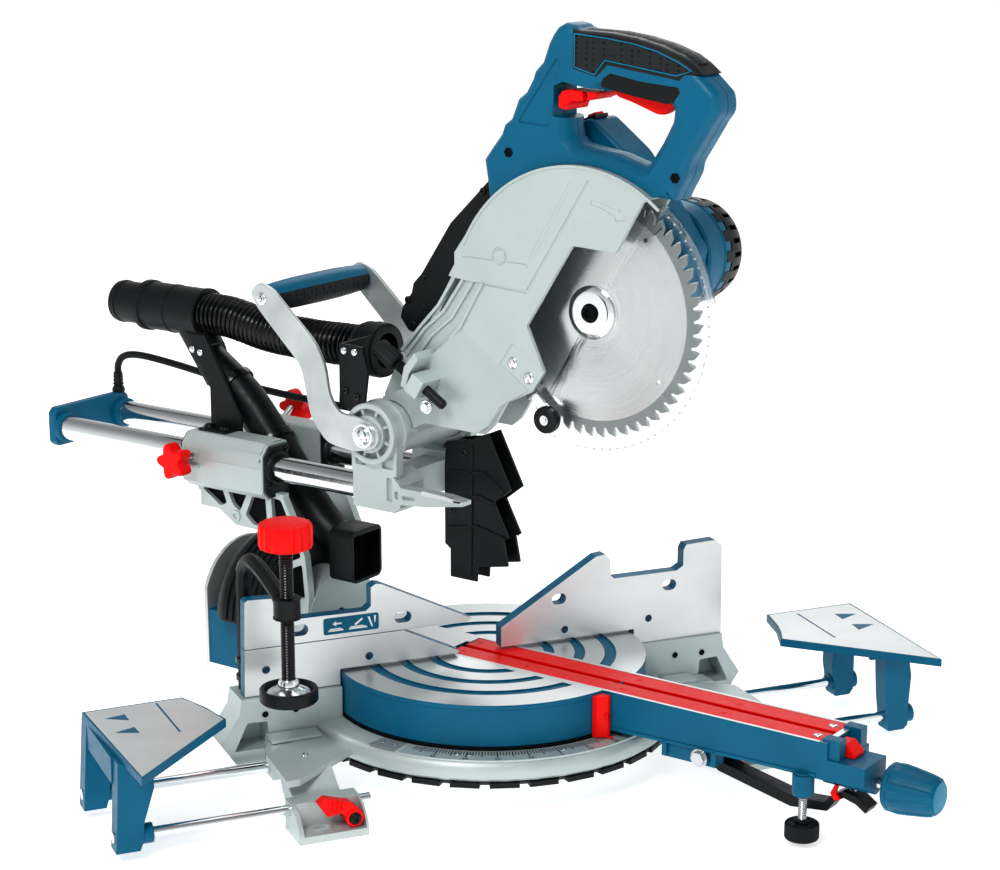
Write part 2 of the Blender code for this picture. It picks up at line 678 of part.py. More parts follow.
def dust_chute():
    """The rubber chute that hangs behind the blade: two flaps and a back."""
    flap = [(-5, 297), (13, 289), (40, 284), (42, 262), (42, 189), (36, 185), (36, 159), (7, 159), (6, 181),
            (4, 173), (-27, 179), (-22, 203), (-28, 205), (-12, 235), (-30, 249)]
    back = [(40, 284), (42, 262), (42, 189), (36, 185), (36, 159), (31, 159), (31, 187), (35, 228), (36, 262),
            (30, 286)]
    return join(prism(back, "yz", -9.6, 9.6), prism(flap, "yz", -10.4, -8), prism(flap, "yz", 8, 10.4))


def cable_sleeve():
    return turned([(0, 260.3), (6.5, 260.3), (6.5, 264), (4.6, 280), (0, 280)], (40, 495, 0), (0, 0, 1), 16)


def power_cable():
    route = [(40, 495, 280.3), (40, 494, 288), (40, 488, 296), (41, 476, 300), (43, 456, 300), (46, 420, 296),
             (50, 370, 289), (54, 310, 283), (56, 250, 280), (56, 190, 279), (55.5, 150, 279), (55, 118.3, 279)]
    return tube(route, 3.6, 2, 1)


def build_slide(add):
    axis = "slide_axis"
    add("head_bracket", head_bracket(), "cast_silver", axis)
    add("left_rail", rail(-RAIL_OFFSET), "chrome", axis)
    add("right_rail", rail(RAIL_OFFSET), "chrome", axis)
    add("rail_end_cap", rail_end_cap(), "blue_paint", axis)
    add("left_carry_plate", carry_plate(-1), "machined_aluminium", axis)
    add("right_carry_plate", carry_plate(1), "machined_aluminium", axis)
    add("carry_grip", carry_grip(), "blue_paint", axis)
    add("pivot_axle", pivot_axle(), "chrome", axis)
    add("hose_bracket", hose_bracket(), "black_plastic", axis)
    add("dust_hose", dust_hose(), "black_rubber", axis)
    add("dust_chute", dust_chute(), "black_rubber", axis)
    add("cable_sleeve", cable_sleeve(), "black_rubber", axis)
    add("power_cable", power_cable(), "black_rubber", axis)


# ---------------------------------------------------------------- head

def casing_outline():
    front = [(-24, 309), (-38, 332), (-64, 345), (-77, 364), (-59, 402), (-105, 475), (-148, 473), (-173, 516)]
    rear = [(17, 458), (17, 448), (38, 412), (47, 393), (75, 365), (95, 324), (98, 280), (68, 277), (57, 295),
            (45, 302), (-14, 301)]
    return front + arc(BLADE_CENTRE, CASING_RADIUS, 124, 42, 20) + rear


def blade_casing():
    """The upper guard: two walls and a rim around the blade, open below, on the pivot barrel."""
    hollow = arc(BLADE_CENTRE, CASING_RADIUS - 3.5, 140, 40, 24) + [(12, 446), (33, 410), (42, 391), (70, 362),
                                                                     (84, 336)]
    hollow += arc(PIVOT, 34, 92, 205, 10) + [(40, 270), (-60, 270), (-250, 300), (-260, 470)]
    item = cut(prism(casing_outline(), "yz", CASING_LEFT, CASING_RIGHT), prism(hollow, "yz", -24, 14))
    item = join(item, prism(disc(PIVOT, 24), "yz", -46, 46))
    lug = [(48, 350), (32, 340), (28.5, 346), (40, 358)]
    item = join(item, prism(lug, "yz", -32, CASING_LEFT + 1))
    return cut(item, rod((-60, *PIVOT), (60, *PIVOT), 8.3, 16), rod((10, *BLADE_CENTRE), (30, *BLADE_CENTRE), 28, 24))


def handle_outline():
    bottom = arc(BLADE_CENTRE, CASING_RADIUS + 0.4, 124, 44.4, 20)
    rear = [(-8, 539), (-20, 554), (-36, 575), (-41, 587), (-51, 598), (-68, 624), (-72, 635), (-81, 651)]
    top = [(-88, 657), (-96, 654), (-105, 650), (-135, 649), (-159, 646), (-181, 641), (-201, 634), (-219, 622),
           (-236, 606), (-237, 592), (-218, 562), (-210, 549), (-208, 540), (-197, 519)]
    return bottom + rear + top


GRIP = [(-100, 651), (-105, 650.5), (-135, 649.5), (-159, 646.5), (-181, 641.5), (-201, 634.5), (-219, 622.5),
        (-206, 614), (-135, 623), (-124, 614), (-100, 620)]


def grown(outline, amount):
    """The outline with each point moved out from the outline's centre line by about the amount."""
    count = len(outline)
    area = sum(outline[i][0] * outline[(i + 1) % count][1] - outline[(i + 1) % count][0] * outline[i][1]
               for i in range(count))
    turn = 1 if area > 0 else -1
    points = []
    for i in range(count):
        before, here, after = (Vector(outline[(i + k) % count]) for k in (-1, 0, 1))
        first, second = (here - before).normalized(), (after - here).normalized()
        normal = Vector((first.y + second.y, -first.x - second.x)).normalized() * turn
        reach = amount / max(0.5, normal.dot(Vector((second.y, -second.x)) * turn))
        points.append(tuple(here + normal * reach))
    return points


def grip_core(gap):
    """The part of the handle that the rubber is wrapped round."""
    outline = [(-60, 590), (-60, 643 - gap), (-135, 641 - gap), (-159, 638 - gap), (-181, 633 - gap),
               (-201, 626 - gap), (-214, 619 - gap), (-244, 590)]
    return prism(outline, "yz", -20 + gap, 12 - gap)


def handle_housing():
    opening = [(-94, 576), (-94, 590), (-103, 587), (-115, 592), (-126, 603), (-133, 605), (-190, 596),
               (-193, 592), (-193, 583), (-170, 545), (-165, 544), (-141, 552), (-119, 555), (-103, 558), (-95, 566)]
    item = cut(prism(handle_outline(), "yz", -22, 14), prism(opening, "yz", -40, 30))
    trigger_pocket = [(-128, 600), (-128, 616), (-150, 614), (-196, 607), (-196, 596), (-188, 592)]
    lock_pocket = [(-125, 594), (-125, 602.5), (-108, 605), (-88, 610), (-81, 604), (-81, 582), (-95, 578)]
    item = cut(item, prism(trigger_pocket, "yz", -9.5, 1.5), prism(lock_pocket, "yz", -11.5, 3.5))
    return cut(item, cut(prism(grown(GRIP, GAP), "yz", -40, 30), grip_core(GAP)))


def soft_grip():
    """The rubber over the top of the handle, wrapped a little down each side."""
    return cut(prism(GRIP, "yz", -23.5, 15.5), grip_core(0))


def trigger():
    outline = [(-131, 603), (-133, 609), (-150, 609), (-192, 603), (-193, 598), (-182, 587), (-174, 586),
               (-135, 598)]
    return prism(outline, "yz", -8.5, 0.5)


def lock_off_lever():
    outline = [(-85, 586), (-86, 597), (-92, 601), (-105, 601), (-122, 600), (-122, 596), (-106, 592), (-96, 590),
               (-94, 585)]
    return prism(outline, "yz", -10, 2)


def gear_housing():
    outline = [(-60, 395), (-62, 450), (-50, 500), (-60, 560), (-79, 571), (-91, 576), (-128, 548), (-158, 508),
               (-186, 470), (-178, 430), (-140, 400), (-90, 390)]
    item = prism(outline, "yz", 18.4, 58)
    item = join(item, prism(disc(BLADE_CENTRE, 27.4), "yz", 4.8, 20))
    return cut(item, rod((0, *BLADE_CENTRE), (52, *BLADE_CENTRE), 12.4, 24))


def motor_housing():
    profile = [(0, 58.3), (MOTOR_RADIUS, 58.3), (MOTOR_RADIUS, 91), (MOTOR_RADIUS - 1.5, 95), (0, 95)]
    return turned(profile, (0, *MOTOR_CENTRE), (1, 0, 0), 32)


def motor_end_cap():
    profile = [(0, 95.3), (MOTOR_RADIUS, 95.3), (MOTOR_RADIUS, 104), (MOTOR_RADIUS - 3, 117),
               (MOTOR_RADIUS - 8, 122), (0, 122)]
    return turned(profile, (0, *MOTOR_CENTRE), (1, 0, 0), 32)


def drive_cover():
    outline = [(-20, 490), (-2, 522), (12, 517), (56, 474), (89, 425), (98, 416), (100, 407), (111, 392),
               (113, 383), (104, 372), (78, 366), (50, 395), (40, 412), (20, 448)]
    return prism(outline, "yz", 18.4, 42)


def depth_stop_screw():
    along = Vector((0, -73, -45)).normalized()
    start = Vector((-50, 84, 371))
    profile = [(0, 0), (8, 0), (9, 2), (9, 23), (8, 25), (3, 25), (3, 84), (0, 84)]
    return turned(profile, start, along, 16)


def depth_stop_bracket():
    along = Vector((-73, -45)).normalized()
    across = Vector((along.y, -along.x))
    middle = Vector((38, 342.6))
    corners = [middle + along * a + across * b for a, b in ((-7, -9), (7, -9), (7, 9), (-7, 9))]
    item = prism([tuple(c) for c in corners], "yz", -60, -32.3)
    centre = Vector((-50, 38, 342.6))
    direction = Vector((0, along.x, along.y)) * 30
    return cut(item, rod(centre - direction, centre + direction, 3.3, 16))


def blade():
    """The disc with its teeth, each tooth a notch and a tip."""
    outline = []
    for i in range(BLADE_TEETH):
        angle = 2 * math.pi * i / BLADE_TEETH
        step = 2 * math.pi / BLADE_TEETH
        for share, radius in ((0.0, BLADE_RADIUS), (0.3, BLADE_RADIUS - 1.5), (0.62, BLADE_RADIUS - 7)):
            turn = angle + share * step
            outline.append((BLADE_CENTRE[0] + radius * math.cos(turn), BLADE_CENTRE[1] + radius * math.sin(turn)))
    item = prism(outline, "yz", -1.2, 1.2)
    return cut(item, rod((-5, *BLADE_CENTRE), (5, *BLADE_CENTRE), 8.3, 24))


def arbor():
    profile = [(0, -9), (7, -9), (7, -5.4), (8, -5.4), (8, 1.5), (12, 1.5), (12, 50), (0, 50)]
    return turned(profile, (0, *BLADE_CENTRE), (1, 0, 0), 24)


def blade_flange():
    return turned([(8.3, -5.1), (18, -5.1), (22, -3.2), (22, -1.5), (8.3, -1.5)], (0, *BLADE_CENTRE), (1, 0, 0), 32)


def lower_guard():
    """The clear guard: a channel bent round the lower front of the blade."""
    profile = [(28, -6.4), (118, -6.4), (118, 6.4), (28, 6.4), (28, 4.6), (115.6, 4.6), (115.6, -4.6), (28, -4.6)]
    return turned(profile, (0, *BLADE_CENTRE), (1, 0, 0), 32, GUARD_START, GUARD_SWEEP)


def guard_roller():
    place = (36 + BLADE_CENTRE[0], -95 + BLADE_CENTRE[1])
    profile = [(0, -23), (6, -23), (6, -20), (12, -20), (12, -10), (5, -10), (5, -6.7), (0, -6.7)]
    return turned(profile, (0, *place), (1, 0, 0), 20)


GUARD_START = -55.0
GUARD_SWEEP = 165.0


def build_head(add):
    axis = "chop_axis"
    add("blade_casing", blade_casing(), "cast_silver", axis)
    add("handle_housing", handle_housing(), "blue_paint", axis)
    add("soft_grip", soft_grip(), "black_rubber", axis)
    add("trigger", trigger(), "red_plastic", "trigger_axis")
    add("lock_off_lever", lock_off_lever(), "red_plastic", "lock_off_axis")
    add("gear_housing", gear_housing(), "blue_paint", axis)
    add("motor_housing", motor_housing(), "blue_paint", axis)
    add("motor_end_cap", motor_end_cap(), "black_plastic", axis)
    add("drive_cover", drive_cover(), "black_plastic", axis)
    add("depth_stop_bracket", depth_stop_bracket(), "cast_silver", axis)
    add("depth_stop_screw", depth_stop_screw(), "black_plastic", "depth_stop_axis")
    add("blade", blade(), "blade_steel", "blade_axis")
    add("arbor", arbor(), "chrome", "blade_axis")
    add("blade_flange", blade_flange(), "chrome", "blade_axis")
    add("lower_guard", lower_guard(), "clear_plastic", "guard_axis")
    add("guard_roller", guard_roller(), "black_plastic", "guard_axis")


clear_scene()
assembly = Assembly()
build_base(assembly.add)
build_turntable(assembly.add)
build_bevel(assembly.add)
build_slide(assembly.add)
build_head(assembly.add)
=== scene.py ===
"""Looks of the sliding mitre saw: finishes on every CAD piece, and the fine pieces round them.

Lengths are millimetres in one of two spaces: BASE, with the turntable's axis at 0, 0 and the
fence along X, and SAW, the same turned with the table (u right, v away, z up). The body that
a piece rides on says which space its numbers are in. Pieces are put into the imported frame,
in metres, when they are finished.
"""

import json
import math

import bmesh
import bpy
from mathutils import Matrix, Vector


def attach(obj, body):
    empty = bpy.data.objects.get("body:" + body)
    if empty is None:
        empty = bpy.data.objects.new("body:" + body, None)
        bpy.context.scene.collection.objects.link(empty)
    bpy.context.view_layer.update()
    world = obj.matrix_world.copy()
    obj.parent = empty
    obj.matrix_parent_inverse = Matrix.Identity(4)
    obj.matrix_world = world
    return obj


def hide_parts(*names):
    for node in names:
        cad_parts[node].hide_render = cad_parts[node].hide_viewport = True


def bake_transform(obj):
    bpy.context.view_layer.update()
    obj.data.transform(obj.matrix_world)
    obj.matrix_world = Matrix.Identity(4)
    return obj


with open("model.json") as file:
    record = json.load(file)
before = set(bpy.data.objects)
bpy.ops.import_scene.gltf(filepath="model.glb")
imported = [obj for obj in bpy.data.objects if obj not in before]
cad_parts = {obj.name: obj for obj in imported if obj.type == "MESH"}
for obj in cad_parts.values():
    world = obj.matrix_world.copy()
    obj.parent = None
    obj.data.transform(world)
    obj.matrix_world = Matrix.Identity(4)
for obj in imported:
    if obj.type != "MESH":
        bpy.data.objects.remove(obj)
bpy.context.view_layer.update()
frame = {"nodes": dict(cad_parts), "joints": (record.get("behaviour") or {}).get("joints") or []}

MM = 0.001
JOINTS = {joint["name"]: joint for joint in frame["joints"]}
TABLE_PLACE = Vector(JOINTS["mitre_turn"]["pos_m"])
BEVEL_AXIS = Vector(JOINTS["bevel_tilt"]["axis"])
MITRE = math.atan2(-BEVEL_AXIS.x, BEVEL_AXIS.y)
BASE = Matrix.Translation((TABLE_PLACE.x, TABLE_PLACE.y, 0))
SAW = BASE @ Matrix.Rotation(MITRE, 4, "Z")
FIXED_BODIES = ("base", "upper_fence", "clamp_arm", "clamp_spindle", "left_extension", "right_extension",
                "left_rod_clamp", "right_rod_clamp")

TABLE_TOP = 92.0
TABLE_RADIUS = 140.6
RING_TOP = 51.6
U, V, Z = (1, 0, 0), (0, 1, 0), (0, 0, 1)
PIVOT = (83.0, 295.0)
BLADE_CENTRE = (-108.0, 415.0)
TEETH = 56
CASING_RADIUS = 127.0
CASING_LEFT = -28.0
MOTOR_CENTRE = (-141.0, 458.0)
RAIL_HEIGHT = 239.0
RAIL_OFFSET = 40.6
CABLE_DIAMETER = 7.2


# ---------------------------------------------------------------- meshes

def in_plane(plane, a, b, c):
    """The point a, b on a plane and c along its normal."""
    return Vector({"xy": (a, b, c), "xz": (a, c, b), "yz": (c, a, b)}[plane])


def prism(outline, plane, low, high):
    """An outline extruded from low to high along the normal of its plane."""
    data = bmesh.new()
    lower = [data.verts.new(in_plane(plane, a, b, low)) for a, b in outline]
    upper = [data.verts.new(in_plane(plane, a, b, high)) for a, b in outline]
    data.faces.new(lower)
    data.faces.new(upper[::-1])
    for i in range(len(outline)):
        j = (i + 1) % len(outline)
        data.faces.new((lower[i], lower[j], upper[j], upper[i]))
    bmesh.ops.recalc_face_normals(data, faces=data.faces)
    return data


def block(low, high):
    outline = [(low[0], low[1]), (high[0], low[1]), (high[0], high[1]), (low[0], high[1])]
    return prism(outline, "xy", low[2], high[2])


def turned(profile, centre, axis, steps=48, start=0.0, sweep=360.0, wave=None):
    """A profile of (radius, distance) turned about an axis; wave scales the radius by angle."""
    along = Vector(axis).normalized()
    side = along.orthogonal().normalized()
    if abs(along.z) < 0.5:
        side = along.cross(Vector(Z)).normalized()
    other = along.cross(side)
    full = sweep > 359.9
    closed = profile[0][0] < 1e-6 and profile[-1][0] < 1e-6
    count = steps if full else steps + 1
    data = bmesh.new()
    rings = []
    for radius, distance in profile:
        base = Vector(centre) + along * distance
        if radius < 1e-6:
            rings.append([data.verts.new(base)] * count)
            continue
        ring = []
        for i in range(count):
            angle = math.radians(start + sweep * i / steps)
            reach = radius * (wave(angle, radius) if wave else 1)
            ring.append(data.verts.new(base + (side * math.cos(angle) + other * math.sin(angle)) * reach))
        rings.append(ring)
    pairs = list(zip(rings, rings[1:]))
    if not closed:
        pairs.append((rings[-1], rings[0]))
    for first, second in pairs:
        for i in range(count if full else count - 1):
            j = (i + 1) % count
            corners = list(dict.fromkeys((first[i], first[j], second[j], second[i])))
            if len(corners) > 2:
                data.faces.new(corners)
    if not full:
        for end in (0, -1):
            data.faces.new(list(dict.fromkeys(ring[end] for ring in rings)))
    bmesh.ops.recalc_face_normals(data, faces=data.faces)
    return data


def rod(start, end, radius, steps=32):
    along = Vector(end) - Vector(start)
    return turned([(0, 0), (radius, 0), (radius, along.length), (0, along.length)], start, along, steps)


def arc(centre, radius, first, last, steps):
    """Points of an arc from first to last degrees, both included."""
    return [polar(centre, radius, first + (last - first) * i / steps) for i in range(steps + 1)]


def polar(centre, radius, degrees):
    """The point at a radius and an angle from a centre in a plane."""
    turn = math.radians(degrees)
    return (centre[0] + radius * math.cos(turn), centre[1] + radius * math.sin(turn))


def disc(centre, radius, steps=32):
    return arc(centre, radius, 0, 360, steps)[:-1]


def rounded_box(low, high, radius, steps=4):
    """A rectangle outline with round corners."""
    corners = ((high[0] - radius, high[1] - radius, 0), (low[0] + radius, high[1] - radius, 90),
               (low[0] + radius, low[1] + radius, 180), (high[0] - radius, low[1] + radius, 270))
    points = []
    for a, b, turn in corners:
        points += arc((a, b), radius, turn, turn + 90, steps)
    return points


def rounded(outline, radius, steps=4):
    """An outline with each corner replaced by an arc-like curve of about this radius."""
    points = []
    count = len(outline)
    for i in range(count):
        before, here, after = (Vector(outline[(i + k) % count]) for k in (-1, 0, 1))
        reach = min(radius, (before - here).length * 0.45, (after - here).length * 0.45)
        start = here + (before - here).normalized() * reach
        end = here + (after - here).normalized() * reach
        for k in range(steps + 1):
            t = k / steps
            points.append(tuple(start * (1 - t) ** 2 + here * 2 * t * (1 - t) + end * t * t))
    return points


def smooth_route(points, steps):
    """A Catmull-Rom curve through the points, with this many steps between two of them."""
    ends = [Vector(p) for p in points]
    ends = [2 * ends[0] - ends[1]] + ends + [2 * ends[-1] - ends[-2]]
    route = []
    for a, b, c, d in zip(ends, ends[1:], ends[2:], ends[3:]):
        for i in range(steps):
            t = i / steps
            route.append(0.5 * (2 * b + (c - a) * t + (2 * a - 5 * b + 4 * c - d) * t * t
                                + (3 * b - a - 3 * c + d) * t ** 3))
    return route + [ends[-2]]


def swept(route, section):
    """A closed section of (side, up) points swept along a route; section may be a function of distance."""
    data = bmesh.new()
    rings = []
    distance = 0.0
    tangents = [(b - a).normalized() for a, b in zip(route, route[1:])]
    tangents = [tangents[0]] + [(a + b).normalized() for a, b in zip(tangents, tangents[1:])] + [tangents[-1]]
    up = tangents[0].orthogonal().normalized()
    if abs(tangents[0].x) < 0.9:
        up = Vector(U)
    for i, (point, tangent) in enumerate(zip(route, tangents)):
        if i:
            distance += (point - route[i - 1]).length
        up = (up - tangent * up.dot(tangent)).normalized()
        side = tangent.cross(up)
        shape = section(distance) if callable(section) else section
        rings.append([data.verts.new(point + up * a + side * b) for a, b in shape])
    count = len(rings[0])
    for first, second in zip(rings, rings[1:]):
        for i in range(count):
            j = (i + 1) % count
            data.faces.new((first[i], first[j], second[j], second[i]))
    data.faces.new(rings[0])
    data.faces.new(rings[-1][::-1])
    bmesh.ops.recalc_face_normals(data, faces=data.faces)
    return data


def as_mesh(name, data):
    """A bmesh as a mesh; the bmesh is freed."""
    mesh = bpy.data.meshes.new(name)
    data.to_mesh(mesh)
    data.free()
    return mesh


def as_object(name, content):
    """A mesh, curve, light or camera as an object in the scene."""
    item = bpy.data.objects.new(name, content)
    bpy.context.scene.collection.objects.link(item)
    return item


def as_evaluated(item):
    """The mesh that an object's curve or modifiers give."""
    graph = bpy.context.evaluated_depsgraph_get()
    return bpy.data.meshes.new_from_object(item.evaluated_get(graph))


def merged(*parts):
    """Several meshes as one, without a Boolean."""
    data = bmesh.new()
    for part in parts:
        mesh = as_mesh("part", part)
        data.from_mesh(mesh)
        bpy.data.meshes.remove(mesh)
    return data


def combined(data, tools, operation):
    """The mesh after a Boolean with each tool."""
    item = as_object("whole", as_mesh("whole", data))
    for tool in tools:
        other = as_object("tool", as_mesh("tool", tool))
        modifier = item.modifiers.new("boolean", "BOOLEAN")
        modifier.object = other
        modifier.operation = operation
        modifier.solver = "EXACT"
        mesh = as_evaluated(item)
        item.modifiers.clear()
        item.data = mesh
        bpy.data.objects.remove(other)
    result = bmesh.new()
    result.from_mesh(item.data)
    bpy.data.objects.remove(item)
    return result


def cut(data, *tools):
    return combined(data, tools, "DIFFERENCE")


def joined(data, *tools):
    return combined(data, tools, "UNION")


def bevelled(data, width, segments=2, angle=28):
    """The mesh with its sharp edges rounded."""
    least = math.radians(angle)
    sharp = [edge for edge in data.edges if edge.is_manifold and edge.calc_face_angle(0) > least]
    bmesh.ops.bevel(data, geom=sharp, offset=width, offset_type="OFFSET", segments=segments, profile=0.5,
                    affect="EDGES", clamp_overlap=True)
    return data


def to_frame(body):
    """From the millimetres that a body's pieces are written in to the frame's metres."""
    return (BASE if body in FIXED_BODIES else SAW) @ Matrix.Scale(MM, 4)


def from_cad(node, body="table"):
    """A cleaned copy of a CAD node's mesh, in the millimetres that the body's pieces use."""
    data = bmesh.new()
    data.from_mesh(frame["nodes"][node].data)
    bmesh.ops.remove_doubles(data, verts=data.verts, dist=1e-5)
    data.transform(to_frame(body).inverted())
    bmesh.ops.dissolve_limit(data, angle_limit=math.radians(0.5), verts=data.verts, edges=data.edges)
    bmesh.ops.recalc_face_normals(data, faces=data.faces)
    return data


def piece(name, data, body, finishes, replaces=(), paint=None, smooth=40):
    """Puts a mesh into the frame as a piece: its finishes, its shading and the body it rides on."""
    if isinstance(finishes, str):
        finishes = (finishes,)
    if paint:
        data.faces.ensure_lookup_table()
        data.normal_update()
        for face in data.faces:
            face.material_index = paint(face.calc_center_median(), face.normal)
    data.transform(to_frame(body))
    mesh = as_mesh(name, data)
    for finish in finishes:
        mesh.materials.append(FINISH[finish])
    mesh.shade_smooth()
    mesh.set_sharp_from_angle(angle=math.radians(smooth))
    item = as_object(name, mesh)
    normals = item.modifiers.new("normals", "WEIGHTED_NORMAL")
    normals.keep_sharp = True
    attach(item, body)
    if replaces:
        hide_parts(*replaces)


def softened(name, node, body, finishes, width, segments=2, angle=28, **looks):
    """A CAD node's own shape with its edges rounded, as the piece that replaces it."""
    shape = bevelled(from_cad(node, body), width, segments, angle)
    piece(name, shape, body, finishes, replaces=[node], **looks)


def lettering(text, size, depth, place, degrees):
    """Figures as a thin raised mesh, turned about z."""
    curve = bpy.data.curves.new("figures", "FONT")
    curve.body = text
    curve.size = size
    curve.extrude = depth
    curve.align_x = "CENTER"
    curve.align_y = "CENTER"
    curve.resolution_u = 3
    item = as_object("figures", curve)
    mesh = as_evaluated(item)
    bpy.data.objects.remove(item)
    data = bmesh.new()
    data.from_mesh(mesh)
    data.transform(Matrix.Translation(place) @ Matrix.Rotation(math.radians(degrees), 4, "Z"))
    return data


# ---------------------------------------------------------------- finishes


class Nodes:
    """A material's node tree, with short calls to add and join nodes."""

    def __init__(self, name):
        self.material = bpy.data.materials.new(name)
        self.material.use_nodes = True
        self.tree = self.material.node_tree
        self.shader = self.tree.nodes["Principled BSDF"]
        self.place = self.add("ShaderNodeTexCoord").outputs["Object"]

    def add(self, kind, **settings):
        node = self.tree.nodes.new(kind)
        for key, value in settings.items():
            setattr(node, key, value)
        return node

    def join(self, source, target):
        self.tree.links.new(source, target)

    def noise(self, size_mm, detail=3.0, stretch=(1, 1, 1), vector=None):
        mapping = self.add("ShaderNodeMapping")
        mapping.inputs["Scale"].default_value = stretch
        self.join(vector or self.place, mapping.inputs["Vector"])
        texture = self.add("ShaderNodeTexNoise")
        texture.inputs["Scale"].default_value = 1000.0 / size_mm
        texture.inputs["Detail"].default_value = detail
        self.join(mapping.outputs["Vector"], texture.inputs["Vector"])
        return texture.outputs["Fac"]

    def ramp(self, value, low, high):
        """The value spread between two numbers or two colours."""
        node = self.add("ShaderNodeValToRGB")
        for element, stop in zip(node.color_ramp.elements, (low, high)):
            element.color = (*stop, 1) if hasattr(stop, "__len__") else (stop, stop, stop, 1)
        node.color_ramp.elements[0].position = 0.3
        node.color_ramp.elements[1].position = 0.7
        self.join(value, node.inputs["Fac"])
        return node.outputs["Color"]

    def bump(self, height, strength, distance_mm, normal=None):
        node = self.add("ShaderNodeBump")
        node.inputs["Strength"].default_value = strength
        node.inputs["Distance"].default_value = distance_mm * MM
        self.join(height, node.inputs["Height"])
        if normal:
            self.join(normal, node.inputs["Normal"])
        return node.outputs["Normal"]

    def soft_edges(self, radius_mm):
        node = self.add("ShaderNodeBevel", samples=4)
        node.inputs["Radius"].default_value = radius_mm * MM
        return node.outputs["Normal"]


def surface(name, colour, roughness, metallic=0.0, grain=0.5, depth=0.03, shade=0.06, edge=0.7,
            stretch=(1, 1, 1), spread=0.06, shine=0.5):
    """A finish with grain, a slight change of shade, uneven gloss and soft edges."""
    nodes = Nodes(name)
    darker = [c * (1 - shade) for c in colour]
    lighter = [min(1.0, c * (1 + shade)) for c in colour]
    nodes.join(nodes.ramp(nodes.noise(38, 4), darker, lighter), nodes.shader.inputs["Base Color"])
    gloss = nodes.ramp(nodes.noise(6, 3, stretch), roughness - spread, roughness + spread)
    nodes.join(gloss, nodes.shader.inputs["Roughness"])
    nodes.shader.inputs["Metallic"].default_value = metallic
    nodes.shader.inputs["Specular IOR Level"].default_value = shine
    rounded_normal = nodes.soft_edges(edge)
    nodes.join(nodes.bump(nodes.noise(grain, 2, stretch), 0.35, depth, rounded_normal),
               nodes.shader.inputs["Normal"])
    return nodes.material


def circular_metal(name, colour, roughness, centre_mm, axis, anisotropy):
    """Metal with fine turning marks round an axis of the SAW space."""
    nodes = Nodes(name)
    centre = SAW @ (Vector(centre_mm) * MM)
    along = (SAW.to_3x3() @ Vector(axis)).normalized()
    offset = nodes.add("ShaderNodeVectorMath", operation="SUBTRACT")
    offset.inputs[1].default_value = centre
    nodes.join(nodes.place, offset.inputs[0])
    across = nodes.add("ShaderNodeVectorMath", operation="CROSS_PRODUCT")
    across.inputs[1].default_value = along
    nodes.join(offset.outputs["Vector"], across.inputs[0])
    length = nodes.add("ShaderNodeVectorMath", operation="LENGTH")
    nodes.join(across.outputs["Vector"], length.inputs[0])
    marks = nodes.add("ShaderNodeTexNoise", noise_dimensions="1D")
    marks.inputs["Scale"].default_value = 2600.0
    marks.inputs["Detail"].default_value = 3.0
    nodes.join(length.outputs["Value"], marks.inputs["W"])
    tangent = nodes.add("ShaderNodeVectorTransform", vector_type="VECTOR", convert_from="OBJECT",
                        convert_to="WORLD")
    nodes.join(across.outputs["Vector"], tangent.inputs["Vector"])
    nodes.join(tangent.outputs["Vector"], nodes.shader.inputs["Tangent"])
    nodes.shader.inputs["Anisotropic"].default_value = anisotropy
    nodes.shader.inputs["Metallic"].default_value = 1.0
    darker, lighter = [c * 0.86 for c in colour], [min(1, c * 1.06) for c in colour]
    nodes.join(nodes.ramp(marks.outputs["Fac"], darker, lighter), nodes.shader.inputs["Base Color"])
    nodes.join(nodes.ramp(marks.outputs["Fac"], roughness - 0.05, roughness + 0.05),
               nodes.shader.inputs["Roughness"])
    normal = nodes.bump(marks.outputs["Fac"], 0.2, 0.02, nodes.soft_edges(0.4))
    nodes.join(normal, nodes.shader.inputs["Normal"])
    return nodes.material


def dotted_rubber():
    """Rubber with a grid of small dimples, painted darker towards their middles as shade in the hollows."""
    nodes = Nodes("dotted_rubber")
    nodes.shader.inputs["Specular IOR Level"].default_value = 0.3
    nodes.join(nodes.ramp(nodes.noise(3, 3), 0.5, 0.68), nodes.shader.inputs["Roughness"])
    cells = nodes.add("ShaderNodeTexVoronoi")
    cells.inputs["Scale"].default_value = 215.0
    cells.inputs["Randomness"].default_value = 0.15
    nodes.join(nodes.place, cells.inputs["Vector"])
    dimple_depth_and_shade = nodes.add("ShaderNodeMapRange")
    dimple_depth_and_shade.inputs["From Min"].default_value = 0.2
    dimple_depth_and_shade.inputs["From Max"].default_value = 0.42
    nodes.join(cells.outputs["Distance"], dimple_depth_and_shade.inputs["Value"])
    # painted shade: the dimples' middles are darker, in step with their depth
    nodes.join(nodes.ramp(dimple_depth_and_shade.outputs["Result"], (0.001, 0.001, 0.001), (0.014, 0.018, 0.020)),
               nodes.shader.inputs["Base Color"])
    normal = nodes.bump(dimple_depth_and_shade.outputs["Result"], 0.7, 0.5, nodes.soft_edges(0.8))
    nodes.join(normal, nodes.shader.inputs["Normal"])
    return nodes.material


def clear_plastic():
    nodes = Nodes("clear_plastic")
    nodes.shader.inputs["Base Color"].default_value = (0.95, 0.97, 0.97, 1)
    nodes.shader.inputs["Transmission Weight"].default_value = 1.0
    nodes.shader.inputs["IOR"].default_value = 1.15
    nodes.shader.inputs["Specular IOR Level"].default_value = 0.9
    nodes.shader.inputs["Alpha"].default_value = 0.55
    nodes.join(nodes.ramp(nodes.noise(12, 3), 0.02, 0.08), nodes.shader.inputs["Roughness"])
    nodes.join(nodes.bump(nodes.noise(25, 2), 0.15, 0.3), nodes.shader.inputs["Normal"])
    return nodes.material


